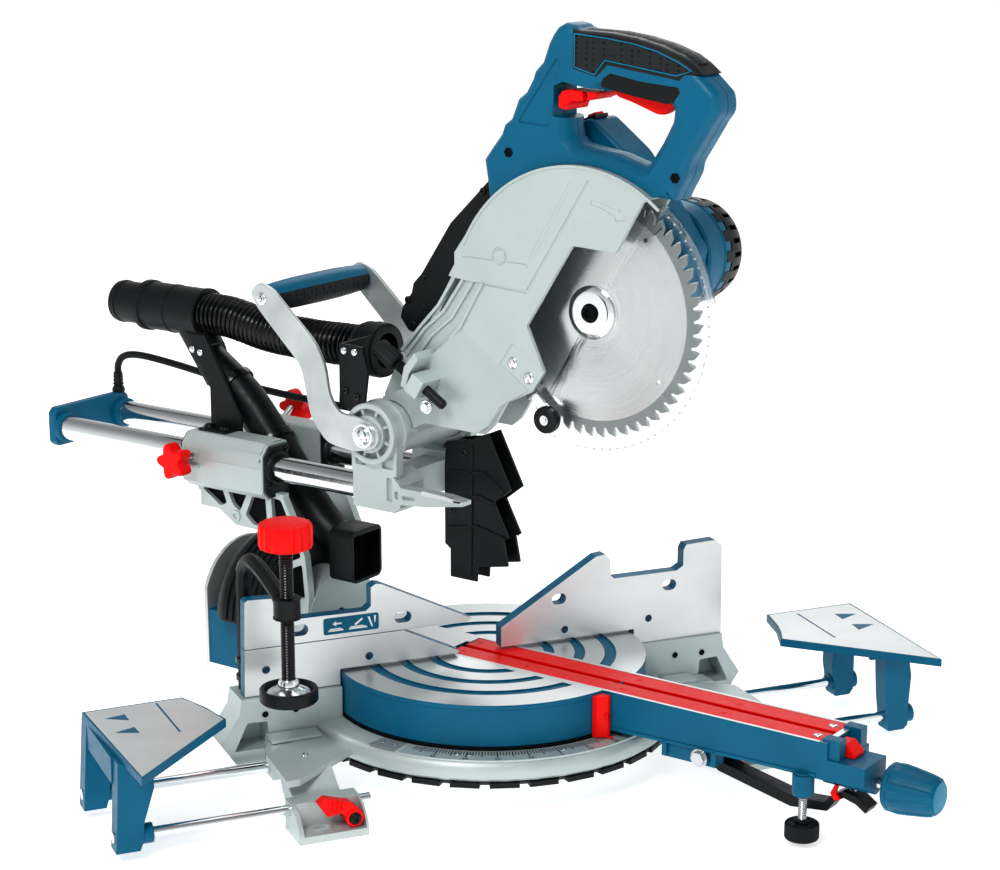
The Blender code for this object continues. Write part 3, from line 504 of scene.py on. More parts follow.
BLUE = (0.0, 0.118, 0.215)
SURFACES = {
    "silver": dict(colour=(0.50, 0.57, 0.56), roughness=0.42, metallic=0.35, grain=0.6, shade=0.03),
    # a darker silver: painted shade on the pivot rings' recess floors, and the scale plate's own tone
    "silver_dark": dict(colour=(0.30, 0.33, 0.33), roughness=0.5, metallic=0.35, grain=0.9, depth=0.06,
                        shade=0.08),
    "brushed": dict(colour=(0.70, 0.73, 0.73), roughness=0.36, metallic=0.65, grain=1.4, depth=0.004,
                    shade=0.04, stretch=(0.06, 1, 1), spread=0.03),
    "galvanised": dict(colour=(0.60, 0.64, 0.64), roughness=0.40, metallic=0.7, grain=2.2, depth=0.02,
                       shade=0.12),
    "chrome": dict(colour=(0.74, 0.77, 0.78), roughness=0.13, metallic=1, grain=4, depth=0.004, shade=0.03,
                   edge=0.4, spread=0.04),
    "steel": dict(colour=(0.58, 0.60, 0.61), roughness=0.26, metallic=1, grain=1.2, depth=0.02, shade=0.08,
                  edge=0.4),
    "blue": dict(colour=BLUE, roughness=0.40, grain=0.8, shade=0.07, shine=0.22),
    "blue_plastic": dict(colour=BLUE, roughness=0.40, grain=0.45, shade=0.05, shine=0.25),
    "blue_light": dict(colour=(0.0, 0.20, 0.34), roughness=0.36, shade=0.05, shine=0.25),
    "black": dict(colour=(0.005, 0.007, 0.008), roughness=0.42, depth=0.05, shade=0.2, shine=0.28),
    "black_gloss": dict(colour=(0.004, 0.005, 0.006), roughness=0.22, grain=1.5, depth=0.01, shade=0.2,
                        shine=0.45),
    "rubber": dict(colour=(0.006, 0.008, 0.009), roughness=0.44, grain=0.9, depth=0.04, shade=0.25,
                   shine=0.3),
    "red": dict(colour=(0.86, 0.004, 0.003), roughness=0.38, grain=2.5, depth=0.01, shade=0.04, shine=0.18),
    "white_print": dict(colour=(0.80, 0.82, 0.82), roughness=0.5, depth=0.01, shade=0.03),
    "black_print": dict(colour=(0.02, 0.022, 0.024), roughness=0.5, depth=0.01, shade=0.1),
    # near black: painted shade where it stands in holes, gaps, slots and pockets; elsewhere a part's own
    # near-black colour
    "dark": dict(colour=(0.003, 0.004, 0.005), roughness=0.7, grain=1, depth=0.02, shade=0.2, shine=0.15),
}
FINISH = {name: surface(name, **values) for name, values in SURFACES.items()}
FINISH["dotted_rubber"] = dotted_rubber()
FINISH["clear"] = clear_plastic()
for name, colour, roughness, centre, axis, anisotropy in (
        ("brushed_round", (0.72, 0.75, 0.75), 0.34, (0, 0, TABLE_TOP), Z, 0.5),
        ("blade", (0.66, 0.69, 0.69), 0.24, (0, *BLADE_CENTRE), U, 0.9),
        ("blade_edge", (0.34, 0.37, 0.37), 0.38, (0, *BLADE_CENTRE), U, 0.4)):
    FINISH[name] = circular_metal(name, colour, roughness, centre, axis, anisotropy)
NODE_FINISH = {
    "silver": "base_casting",
    "brushed": "bevel_plate",
    "black": "clamp_post",
    "chrome": "left_front_rod left_rear_rod right_front_rod right_rear_rod left_rail right_rail pivot_axle",
}


def finish_cad():
    """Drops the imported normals, and finishes the CAD nodes that no piece replaces."""
    for item in frame["nodes"].values():
        if "custom_normal" in item.data.attributes:
            item.data.attributes.remove(item.data.attributes["custom_normal"])
    for finish, names in NODE_FINISH.items():
        for name in names.split():
            item = frame["nodes"][name]
            item.data.materials.clear()
            item.data.materials.append(FINISH[finish])
            item.data.shade_smooth()
            weld = item.modifiers.new("weld", "WELD")
            weld.merge_threshold = 1e-5
            split = item.modifiers.new("split", "EDGE_SPLIT")
            split.split_angle = math.radians(32)


# ---------------------------------------------------------------- shared details

def moved(outline, amount):
    """The outline with each point moved out along its corner's normal, by one amount or one per point."""
    count = len(outline)
    area = sum(outline[i][0] * outline[(i + 1) % count][1] - outline[(i + 1) % count][0] * outline[i][1]
               for i in range(count))
    turn = 1 if area > 0 else -1
    points = []
    for i in range(count):
        before, here, after = (Vector(outline[(i + k) % count]) for k in (-1, 0, 1))
        first, second = (here - before).normalized(), (after - here).normalized()
        normal = Vector((first.y + second.y, -first.x - second.x))
        normal = normal.normalized() * turn if normal.length > 1e-6 else Vector((0, 0))
        reach = (amount[i] if hasattr(amount, "__len__") else amount)
        reach /= max(0.6, normal.dot(Vector((second.y, -second.x)) * turn))
        points.append(tuple(here + normal * reach))
    return points


def lofted(rings, plane):
    """A closed solid through outlines at levels, given as (outline, level) pairs."""
    data = bmesh.new()
    loops = [[data.verts.new(in_plane(plane, a, b, level)) for a, b in outline] for outline, level in rings]
    count = len(loops[0])
    for first, second in zip(loops, loops[1:]):
        for i in range(count):
            j = (i + 1) % count
            data.faces.new((first[i], first[j], second[j], second[i]))
    data.faces.new(loops[0])
    data.faces.new(loops[-1][::-1])
    bmesh.ops.recalc_face_normals(data, faces=data.faces)
    return data


def soft_prism(outline, plane, low, high, radius, held=None, steps=3):
    """A prism whose two rims are rounded; held outline points keep their place."""
    rings = []
    for i in range(steps + 1):
        angle = math.pi / 2 * i / steps
        inset = radius * (1 - math.sin(angle))
        rings.append((inset, low + radius * (1 - math.cos(angle))))
    rings += [(inset, high - (level - low)) for inset, level in rings[::-1]]
    shaped = []
    for inset, level in rings:
        amounts = [0 if held and held(point) else -inset for point in outline]
        shaped.append((moved(outline, amounts), level))
    return lofted(shaped, plane)


def facing(data, place, along):
    """The mesh moved to a place, with its z turned along a direction."""
    turn = Vector(Z).rotation_difference(along).to_matrix().to_4x4()
    data.transform(Matrix.Translation(place) @ turn)
    return data


def spun(data, centre, degrees):
    """The mesh turned about the u axis and moved from the origin to a centre in the v, z plane."""
    data.transform(Matrix.Translation((0, *centre)) @ Matrix.Rotation(math.radians(degrees), 4, "X"))
    return data


def screw(place, axis, radius, finish, body, name, height=1.6, socket="star"):
    """A domed screw head with its socket."""
    along = Vector(axis).normalized()
    profile = [(0, -1.5), (radius, -1.5), (radius, height * 0.35), (radius * 0.86, height * 0.8),
               (radius * 0.55, height), (0, height)]
    head = turned(profile, place, along, 24)
    count, dip = (24, 0.30) if socket == "star" else (6, 0.42)
    hole = [polar((0, 0), radius * (dip if i % 2 else 0.42), 360 * i / count) for i in range(count)]
    tool = facing(prism(hole, "xy", height - 1.4, height + 2), place, along)
    piece(name, cut(head, tool), body, finish)


# ---------------------------------------------------------------- head

HANDLE_REAR = [(-8, 539), (-11, 543), (-18, 552), (-26, 562), (-29, 570), (-36, 575), (-41, 587), (-43, 592),
               (-51, 598), (-58, 610), (-60, 616), (-68, 624), (-74, 640), (-78, 647), (-83, 653)]
HANDLE_TOP = [(-90, 656.5), (-98, 655), (-106, 651), (-135, 649), (-159, 646), (-181, 641), (-201, 634),
              (-211, 628), (-222, 619), (-231, 611), (-236, 605), (-237, 592), (-231, 583), (-225, 573),
              (-218, 562), (-210, 549), (-208, 540), (-201, 527), (-197, 519)]
OPENING = [(-94, 572), (-94, 590), (-103, 588), (-115, 592), (-121, 598), (-126, 603), (-133, 605),
           (-162, 600), (-190, 596), (-193, 591), (-192, 583), (-182, 564), (-170, 546), (-164, 545),
           (-141, 552), (-119, 555), (-103, 558), (-96, 564)]
GRIP = [(-99, 652), (-105, 650.5), (-135, 649.5), (-159, 646.5), (-181, 641.5), (-201, 634.5), (-212, 628),
        (-221, 621), (-208, 618), (-203, 613), (-170, 617.5), (-135, 622), (-124, 612), (-98, 618),
        (-98, 636)]


def make_handle():
    bottom = arc(BLADE_CENTRE, CASING_RADIUS + 0.3, 124, 44.4, 28)
    crest = [tuple(point) for point in smooth_route(HANDLE_TOP, 3)]
    outline = bottom + HANDLE_REAR + crest

    def on_casing(point):
        return abs(math.dist(point, BLADE_CENTRE) - CASING_RADIUS) < 2
    shell = soft_prism(outline, "yz", -22, 14, 7.5, on_casing, 5)
    wide = moved(OPENING, 9)
    mouth = lofted([(wide, -22.5), (moved(OPENING, 3.5), -18), (OPENING, -11), (OPENING, 3),
                    (moved(OPENING, 3.5), 10), (wide, 14.5)], "yz")
    trigger_pocket = prism([(-129, 600), (-129, 616), (-150, 614), (-196, 607), (-196, 596), (-188, 592)],
                           "yz", -9.5, 1.5)
    lock_pocket = prism([(-125, 592), (-125, 604), (-108, 606), (-90, 609), (-80.5, 605), (-80.5, 580),
                         (-96, 578)], "yz", -23.5, 15.5)
    seam = block((-5, -260, 500), (-4.2, -70, 700))
    ledge = [(-84, 628), (-88, 625), (-77, 571), (-45, 573)]
    window = soft_prism(rounded(ledge, 4), "yz", -23, -20.8, 0.5)
    band = [(-16, 507), (-10, 512), (-12, 536), (-19, 547), (-80, 643), (-82, 641), (-21, 544), (-15, 534),
            (-14, 514)]
    groove = prism(band, "yz", -22.6, -21.4)
    shell = cut(shell, mouth, trigger_pocket, lock_pocket, seam, window, groove)
    piece("handle_shell", shell, "head", "blue_plastic", replaces=["handle_housing"], smooth=35)
    shroud = [(-127, 607), (-133, 605.4), (-162, 600.4), (-190, 596.4), (-198, 598), (-204, 606), (-202, 611),
              (-165, 614), (-137, 619), (-129, 614)]
    piece("trigger_shroud", soft_prism(shroud, "yz", -22.2, 14.2, 1.5), "head", "black")
    # near-black rings and discs on the surface stand for the screw wells: painted shade in holes that are not
    # cut
    for i, (v, z) in enumerate(((-36, 547), (-200, 538))):
        well = turned([(2.6, -22.9), (4.4, -22.9), (4.4, -21.6), (2.6, -21.6)], (0, v, z), U, 6)
        piece("handle_screw_well_%d" % i, merged(well, rod((-22.1, v, z), (-21.2, v, z), 3.6, 24)), "head",
              "dark")


def make_grip():
    """Rubber round the top of the handle: a plain border and a dotted field parted by a blue line."""
    rubber = soft_prism(moved(GRIP, 0.8), "yz", -22.9, 14.9, 6.2, steps=4)
    field = [(-103, 648), (-135, 645.5), (-159, 642.5), (-181, 637.5), (-200, 630.5), (-213, 624),
             (-200, 620), (-170, 624), (-132, 629), (-122, 617), (-103, 622)]
    piece("grip_rubber", rubber, "head", "rubber", replaces=["soft_grip"])
    line = cut(prism(moved(field, 0.9), "yz", -23.4, 15.4), prism(field, "yz", -24, 16))
    piece("grip_line", line, "head", "blue_light")
    piece("grip_field", soft_prism(moved(field, -0.2), "yz", -23.8, 15.8, 1.0), "head", "dotted_rubber")
    ridge = ((-105, 648.4), (-135, 647.4), (-159, 644.4), (-181, 639.4), (-201, 632.4), (-212, 626))
    crown = [Vector((-4, v, z)) for v, z in ridge]
    section = [(11 * a, 3.6 * b) for a, b in disc((0, 0), 1, 16)]
    piece("grip_crown", swept(smooth_route(crown, 3), section), "head", "dotted_rubber")


def make_trigger():
    """The switch's trigger and the lock-off lever in front of it."""
    blade = [(-131, 603), (-133, 609), (-150, 609), (-192, 603), (-193, 598), (-186, 589), (-180, 586),
             (-173, 586), (-150, 594), (-135, 598)]
    piece("trigger_blade", soft_prism(rounded(blade, 2), "yz", -8.5, 0.5, 2), "switch", "red",
          replaces=["trigger"])
    lever = [(-85, 587.5), (-85, 596.5), (-89, 601.5), (-96, 603), (-106, 602), (-122, 601.5), (-122, 597.5),
             (-116, 595), (-106, 593.5), (-98, 593.5), (-94.5, 590.5), (-93, 585.5)]
    lever = cut(prism(lever, "yz", -20.5, 12.5), rod((-22, -111, 598.2), (16, -111, 598.2), 2.4, 20))
    piece("lock_off_button", bevelled(lever, 1.2, 3), "lock_off", "red", replaces=["lock_off_lever"])


CASING_RIBS = (
    ((-14, 434), (10, 393), (30, 373), (57, 347)), ((-3, 434), (19, 401), (42, 382), (65, 352)),
    ((8, 435), (29, 405), (50, 387), (72, 360)), ((18, 436), (36, 409), (55, 389), (77, 364)),
)


def lower_face():
    """The raised lower part of the upper guard: a face that slopes back to the guard in a flat band."""
    data = bmesh.new()
    foot = [(56, 349), (70, 332), (92, 322), (97, 283), (70, 280), (59, 297), (45, 304), (-12, 303),
            (-23, 311)]
    crease, ledge, end = [(10, 393), (-61, 346)], (44, 361), (-37, 331.5)
    outer = [data.verts.new((-35.0, v, z)) for v, z in [end, (29, 373), ledge] + foot]
    band = [data.verts.new((-28, v, z)) for v, z in crease]
    inner = [data.verts.new((-27, v, z)) for v, z in crease[::-1] + [ledge] + foot + [end]]
    data.faces.new(outer)
    data.faces.new((outer[0], outer[1], band[0], band[1]))
    data.faces.new((band[0], outer[1], outer[2]))
    data.faces.new(inner[::-1])
    ring = [band[1], band[0]] + outer[2:] + [outer[0]]
    for i in range(len(ring)):
        j = (i + 1) % len(ring)
        data.faces.new((ring[i], ring[j], inner[j], inner[i]))
    bmesh.ops.recalc_face_normals(data, faces=data.faces)
    return cut(data, prism(disc(PIVOT, 25), "yz", -40, -20))


def make_casing():
    """The upper guard, with its raised lower face, stepped ribs and embossed lines."""
    shell = from_cad("blade_casing")
    lines = [prism([(-103, 530), (-58, 455), (-60, 452), (-106, 528)], "yz", -29, -27.7),
             prism([(-14, 434), (-58, 432), (-120, 531), (-121.5, 530), (-59, 430), (-14, 432.6)], "yz",
                   -29, -27.3),
             prism([(8, 456), (-58, 455.4), (-58, 454.6), (8, 455)], "yz", -29, -27.6),
             prism(moved(disc((-31, 459), 7.2), 0.5), "yz", -29, -27.6)]
    edge = ((24, 437), (42, 415), (60, 395), (84, 362))
    for i, line in enumerate(CASING_RIBS):
        behind = CASING_RIBS[i + 1] if i < 3 else edge
        lines.append(prism(list(line) + list(behind[::-1]), "yz", -34, CASING_LEFT + 1.4 * (i + 1)))
    arrow = [(-123, 515), (-137, 512), (-151, 507), (-151, 510), (-158, 501), (-147, 499), (-147.5, 502),
             (-135, 508), (-123, 511)]
    screw_plate = [(-44, 385), (-79, 364), (-66, 343), (-30, 365)]
    shell = cut(shell, *lines, prism(arrow, "yz", -29, -27.5), prism(screw_plate, "yz", -29, -27.2))
    shell = joined(shell, prism(disc((-31, 459), 6), "yz", -28.6, -27))
    piece("casing_shell", shell, "head", "silver", replaces=["blade_casing"], smooth=30)
    seal = [(0, -28.9), (4.6, -28.9), (5, -28.4), (5, -27.5), (0, -27.5)]
    piece("casing_seal_disc", turned(seal, (0, -31, 459), U, 32), "head", "silver")
    piece("casing_lower_face", lower_face(), "head", "silver", smooth=20)
    for i, line in enumerate(CASING_RIBS):
        far = [(a + 1.5, b + 1.1) for a, b in line]
        near = [(a - 0.9, b - 0.7) for a, b in line]
        ridge = prism(near + far[::-1], "yz", CASING_LEFT + 1.4 * i - 3.0, -18)
        piece("casing_rib_%d" % i, bevelled(ridge, 0.6), "head", "silver")
    for i, (v, z) in enumerate(((-44, 368), (-61, 357))):
        screw((-27.4, v, z), (-1, 0, 0), 5.2, "chrome", "head", "casing_screw_%d" % i)
    rim = (arc(BLADE_CENTRE, CASING_RADIUS + 0.1, 130, 24, 40)
           + arc(BLADE_CENTRE, CASING_RADIUS - 2.4, 24, 130, 40))
    piece("casing_rim", prism(rim, "yz", -28.9, -27.5), "head", "silver")


def make_blade():
    """The saw blade: carbide-tipped teeth with gullets, and four slots with round ends."""
    def tooth(i, shape):
        """The points of tooth i, given as (share of a tooth's pitch, radius) pairs."""
        return [polar(BLADE_CENTRE, radius, 360 * (i + share) / TEETH) for share, radius in shape]
    gullet = ((0.0, 108), (0.10, 106.6), (0.42, 104.8), (0.56, 103.4), (0.64, 100.6), (0.72, 98.8),
              (0.82, 98.6), (0.90, 100.2), (0.93, 103), (0.985, 107.6))
    tip = ((0.985, 107.9), (0.90, 107.2), (0.86, 101.5), (0.935, 101.2))
    outline = [point for i in range(TEETH) for point in tooth(i, gullet)]

    def holes():
        ends = [disc(polar(BLADE_CENTRE, 84, 90 * i + 38), 2.1, 16) for i in range(4)]
        return [prism(hole, "yz", -3, 3) for hole in ends + [disc(BLADE_CENTRE, 8.3, 32)]]
    slots = []
    for i in range(4):
        along = Vector(polar((0, 0), 1, 90 * i + 38))
        across = Vector((-along.y, along.x))
        route = [Vector(BLADE_CENTRE) + along * a + across * b for a, b in ((84, 0), (92, 3), (103, 5))]
        sides = [p + across * 0.6 for p in route] + [p - across * 0.6 for p in route[::-1]]
        slots.append(prism([tuple(p) for p in sides], "yz", -3, 3))
    rim = cut(prism(outline, "yz", -0.9, 0.9), *slots, *holes())
    piece("blade_teeth", rim, "blade_unit", "blade_edge", replaces=["blade"])
    body = cut(prism(disc(BLADE_CENTRE, 93, 96), "yz", -1.25, 1.25), *holes())
    piece("blade_body", body, "blade_unit", "blade")
    tips = [prism(tooth(i, tip), "yz", -1.35, 1.35) for i in range(TEETH)]
    piece("blade_tips", merged(*tips), "blade_unit", "steel")
    flange = [(8.3, -5.2), (17, -5.2), (19, -4.9), (22.5, -3.4), (23, -2.6), (23, -1.3), (8.3, -1.3)]
    piece("flange_ring", turned(flange, (0, *BLADE_CENTRE), U, 64), "blade_unit", "chrome",
          replaces=["blade_flange"])
    bolt = [(0, -5.4), (3.4, -5.4), (3.8, -8.6), (6.6, -8.6), (7, -8), (7, -5), (8.2, -5), (8.2, 1.5),
            (12, 1.5), (12, 50), (0, 50)]
    piece("arbor_bolt", turned(bolt, (0, *BLADE_CENTRE), U, 48), "blade_unit", "dark", replaces=["arbor"])


def make_guard():
    """The clear guard: two thin walls and a ribbed rim, with its moulded spoke and its roller on an arm."""
    profile = [(28, -6.2), (117, -6.2), (118, -5.2), (118, 5.2), (117, 6.2), (28, 6.2), (28, 4.9),
               (115.9, 4.9), (115.9, -4.9), (28, -4.9)]
    shell = turned(profile, (0, *BLADE_CENTRE), U, 66, -55, 165)
    piece("guard_shell", shell, "guard", "clear", replaces=["lower_guard"])
    places = [polar(BLADE_CENTRE, 116.8, 127 + 4 * i) for i in range(41)]
    marks = [rod((-6.3, *place), (-5.6, *place), 0.9, 8) for place in places]
    piece("guard_rim_marks", merged(*marks), "guard", "steel")
    rim = arc(BLADE_CENTRE, 118, 125, 290, 66) + arc(BLADE_CENTRE, 115.4, 290, 125, 66)
    piece("guard_rim", prism(rim, "yz", -6.9, -6.1), "guard", "clear")
    spoke = [(-92, 384), (-104, 395), (-100, 397), (-62, 333), (-67, 330)]
    piece("guard_spoke", bevelled(prism(spoke, "yz", -7.4, -6.1), 0.4), "guard", "clear")
    roller = (BLADE_CENTRE[0] + 36, BLADE_CENTRE[1] - 95)
    tyre = [(4.4, -21), (9, -21), (11.6, -19), (12, -16), (11.6, -12), (10, -10.5), (4.4, -10.5)]
    piece("roller_tyre", turned(tyre, (0, *roller), U, 40), "guard", "rubber",
          replaces=["guard_roller"])
    hub = [(0, -22), (2.4, -22), (2.6, -20.6), (4.8, -20.6), (5, -6.6), (0, -6.6)]
    piece("roller_hub", turned(hub, (0, *roller), U, 32), "guard", "chrome")
    arm = [(-78, 322), (-66, 318), (-50, 336), (-56, 342)]
    piece("roller_arm", bevelled(prism(arm, "yz", -10.4, -7.4), 0.6), "guard", "chrome")


def make_motor():
    """The motor's barrel, its vented cap and the gear housing with the lamp button."""
    barrel = [(0, 58.3), (44, 58.3), (46, 60), (46, 80), (45, 81), (45, 84), (46, 85), (46, 93), (45, 95.2),
              (0, 95.2)]
    piece("motor_barrel", turned(barrel, (0, *MOTOR_CENTRE), U, 64), "head", "blue_plastic",
          replaces=["motor_housing"])
    cap = [(0, 95.3), (46, 95.3), (46, 104), (43.5, 115), (38.5, 121), (34, 122), (0, 122)]
    shell = turned(cap, (0, *MOTOR_CENTRE), U, 64)
    slots = [spun(block((99.5, -2, 40), (112, 2, 50)), MOTOR_CENTRE, 15 * i) for i in range(24)]
    for row in range(-3, 4):
        reach = math.sqrt(30 ** 2 - (row * 8) ** 2)
        slot = block((118.5, -reach, row * 8 - 1.7), (124, reach, row * 8 + 1.7))
        slots.append(spun(slot, MOTOR_CENTRE, 0))
    piece("motor_cap", cut(shell, merged(*slots)), "head", "black", replaces=["motor_end_cap"])
    lugs = [bevelled(block((86, -5, 44), (97.5, 5, 46.3)), 0.6) for _ in range(16)]
    lugs = [spun(lug, MOTOR_CENTRE, 22.5 * i) for i, lug in enumerate(lugs)]
    piece("motor_cap_lugs", merged(*lugs), "head", "black")
    gear = [(-60, 395), (-62, 450), (-50, 500), (-60, 560), (-79, 571), (-91, 576), (-128, 548), (-158, 508),
            (-186, 470), (-178, 430), (-140, 400), (-90, 390)]
    neck = prism(disc(BLADE_CENTRE, 27), "yz", 5, 20)
    housing = joined(soft_prism(rounded(gear, 5, 3), "yz", 18.4, 58, 3), neck)
    piece("gear_shell", cut(housing, rod((0, *BLADE_CENTRE), (52, *BLADE_CENTRE), 12.4, 24)), "head",
          "blue_plastic", replaces=["gear_housing"])
    frame_line = [(-78, 570), (-93, 575.5), (-92, 578.5), (-79, 573.5)]
    button_line = [(-81, 573), (-91, 576.5), (-90, 580), (-82, 577)]
    piece("lamp_button_base", bevelled(prism(frame_line, "yz", 24, 44), 0.6), "head", "black")
    piece("lamp_button", bevelled(prism(button_line, "yz", 28, 40), 0.8), "head", "red")
    for i, (v, z) in enumerate(((-70, 545), (-110, 545), (-150, 500), (-75, 470))):
        screw((58.2, v, z), U, 4, "black", "head", "gear_screw_%d" % i)


def make_drive_cover():
    softened("drive_cover_shell", "drive_cover", "head", "black", 1.6, 3)
    outline = [(-8, 494), (10, 500), (48, 465), (84, 418), (93, 402), (88, 392), (60, 398), (34, 438)]
    piece("drive_cover_panel", bevelled(prism(outline, "yz", 16.9, 18.8), 0.6), "head", "black")
    for i, (v, z) in enumerate(((83, 422), (104, 400), (98, 378), (20, 505))):
        screw((18.2, v, z), (-1, 0, 0), 3.4, "black", "head", "drive_cover_screw_%d" % i)


def threaded(radius, low, high, pitch, core=0.82):
    """The half profile of a screw thread, as (radius, distance) points."""
    points = [(0, low)]
    at = low
    while at < high - pitch:
        points += [(radius * core, at), (radius, at + pitch * 0.35), (radius, at + pitch * 0.55)]
        at += pitch
    return points + [(radius * core, high), (0, high)]


def make_depth_stop():
    along = Vector((0, -73, -45)).normalized()
    start = Vector((-50, 84, 371))

    def fluted(angle, radius):
        return 1 + 0.05 * math.cos(14 * angle) if radius > 7 else 1
    knob = [(0, 0), (7.2, 0), (8.4, 1.5), (8.6, 22), (7.4, 24), (4.6, 25), (0, 25)]
    piece("stop_knob", turned(knob, start, along, 84, wave=fluted), "depth_screw", "black",
          replaces=["depth_stop_screw"])
    piece("stop_thread", turned(threaded(3.0, 24, 84, 1.6), start, along, 24), "depth_screw", "black")
    piece("stop_tip", turned([(0, 60), (4, 60), (4.4, 61), (4.4, 82), (3.6, 84), (0, 84)], start, along, 24),
          "depth_screw", "black")
    side, turns, steps = along.cross(Vector(U)), 13, 12
    spring = []
    for i in range(turns * steps + 1):
        a, b = polar((0, 0), 4.6, 360 * i / steps)
        spring.append(start + along * (26 + 12.5 * i / (turns * steps)) + Vector(U) * a + side * b)
    piece("stop_spring", swept(spring, [(0.5, 0), (0, 0.5), (-0.5, 0), (0, -0.5)]), "depth_screw", "black")
    softened("stop_lug", "depth_stop_bracket", "head", "silver", 0.8)
    brace = [(40, 372), (52, 358), (56, 340), (50, 338), (46, 352), (36, 366)]
    piece("stop_brace", bevelled(prism(brace, "yz", -56, -31), 1.2), "head", "silver")
    place, left = (-52, 30, 324), (-1, 0, 0)
    bolt = bevelled(facing(prism(disc((0, 0), 4.6, 6), "xy", 0.8, 4.0), place, Vector(left)), 0.5)
    washer = turned([(0, 0), (5.98, 0), (5.98, 0.9), (0, 0.9)], place, left, 24)
    piece("stop_bolt", merged(bolt, washer), "head", "chrome")
    piece("stop_bolt_boss", rod(place, (-28, 30, 324), 5.4), "head", "silver")


def make_head():
    make_handle()
    make_grip()
    make_trigger()
    make_casing()
    make_blade()
    make_guard()
    make_motor()
    make_drive_cover()
    make_depth_stop()


# ---------------------------------------------------------------- base

def front_is_bare(centre, normal):
    """Fences are machined on the work side and painted everywhere else."""
    return 0 if normal.y < -0.9 and centre.y < 0.6 else 1


FENCE_ICONS = (
    rounded_box((-153, 130.2), (-139, 131.6), 0.5),
    ((-151, 133), (-142, 133), (-139.5, 131.8), (-152, 131.8)),
    ((-149, 137), (-145.5, 139.4), (-145.5, 137.7), (-140.5, 137.7), (-140.5, 136.3), (-145.5, 136.3),
     (-145.5, 134.6)),
    rounded_box((-134, 130.2), (-117, 131.6), 0.5),
    ((-132, 133), (-121, 133), (-118, 131.8), (-133, 131.8)),
    ((-129, 134.5), (-122, 139.6), (-120.6, 138.4), (-127.6, 133.4)),
    ((-116.5, 140), (-114.6, 140), (-111.6, 131), (-112.8, 130.4)),
    ((-110.4, 140.4), (-108.6, 140.4), (-109.4, 134), (-110.2, 134)),
)


def make_fences():
    bodies = {"right_fence": "base", "left_lower_fence": "base", "left_upper_fence": "upper_fence"}
    for name, body in bodies.items():
        softened(name + "_machined", name, body, ("brushed", "blue"), 1.6, 3, 20, paint=front_is_bare)
    piece("fence_label", prism(rounded_box((-157, 127.5), (-106, 142.5), 2), "xz", -0.5, 0.4), "upper_fence",
          "blue")
    icons = merged(*[prism(icon, "xz", -0.9, -0.3) for icon in FENCE_ICONS])
    piece("fence_icons", icons, "upper_fence", "white_print")


TABLE_MARKS = {
    "left": (((-312, -15), (-311, -88)),
             ((-361, -35), (-343, -31), (-343, -46)), ((-361, -70), (-343, -63), (-342, -78))),
    "right": (((310, -12), (307, -87)),
              ((342, -26), (361, -34), (341, -43)), ((341, -59), (360, -67), (339, -76))),
}
TABLE_OUTLINE = {
    "left": [(-375, -12), (-288, -9), (-281, -25), (-276, -40), (-271, -57), (-268, -74), (-365, -174)],
    "right": [(282, -3), (373, -3), (364, -176), (259, -71), (268, -52), (274, -36)],
}
ROD_END = {("left", -114.6): -376.5, ("left", -14.6): -379, ("right", -114.6): 366, ("right", -14.6): 368}


def make_extension(side):
    """A side table: machined top in a painted rim, ribs under it, and its marks."""
    name = "left" if side < 0 else "right"
    body = name + "_extension"
    softened(name + "_table_casting", name + "_extension_table", body, "blue", 1.0, 2, 25)
    top = prism(moved(TABLE_OUTLINE[name], -1.9), "xy", 91.6, 92.12)
    piece(name + "_table_top", top, body, "brushed")
    line, *triangles = TABLE_MARKS[name]
    start, end = Vector(line[0]), Vector(line[1])
    across = (end - start).orthogonal().normalized() * 0.9
    strip = [tuple(start + across), tuple(end + across), tuple(end - across), tuple(start - across)]
    marks = [prism(strip, "xy", 92.0, 92.2)] + [prism(corners, "xy", 92.0, 92.2) for corners in triangles]
    piece(name + "_table_marks", merged(*marks), body, "blue")
    edge = -365 if side < 0 else 362
    ribs = [block((edge - 3, y - 2, 56), (edge + 3, y + 2, 66)) for y in (-96, -80, -64, -48, -32)]
    piece(name + "_table_ribs", bevelled(merged(*ribs), 0.6), body, "blue")
    for y in (-114.6, -14.6):
        boss = turned([(5, 0), (8.4, 0), (8.4, 28), (5, 28)], (min(side * 344, side * 372), y, 20), U, 32)
        piece("%s_rod_boss_%d" % (name, -y), boss, body, "blue")
        place = (ROD_END[name, y] - side * 1.1, y, 20)
        end = turned([(0, 0), (3, 0), (3.2, 1), (0, 1)], place, (side, 0, 0), 20)
        piece("%s_rod_end_%d" % (name, -y), end, body, "dark")


def make_lever(side):
    name = "left" if side < 0 else "right"
    body = name + "_rod_clamp"
    softened(name + "_lever", name + "_rod_lever", body, "red", 1.3, 3, 30)
    screw((side * 178.5, -140.1, 14.6), (0, -1, 0), 5.2, "black", body, name + "_lever_screw", 2.4, "hex")
    fins = [block((side * x - 0.9, -140.6, 23), (side * x + 0.9, -138.6, 31)) for x in (189, 193, 197)]
    piece(name + "_lever_fins", merged(*[bevelled(fin, 0.4) for fin in fins]), body, "red")


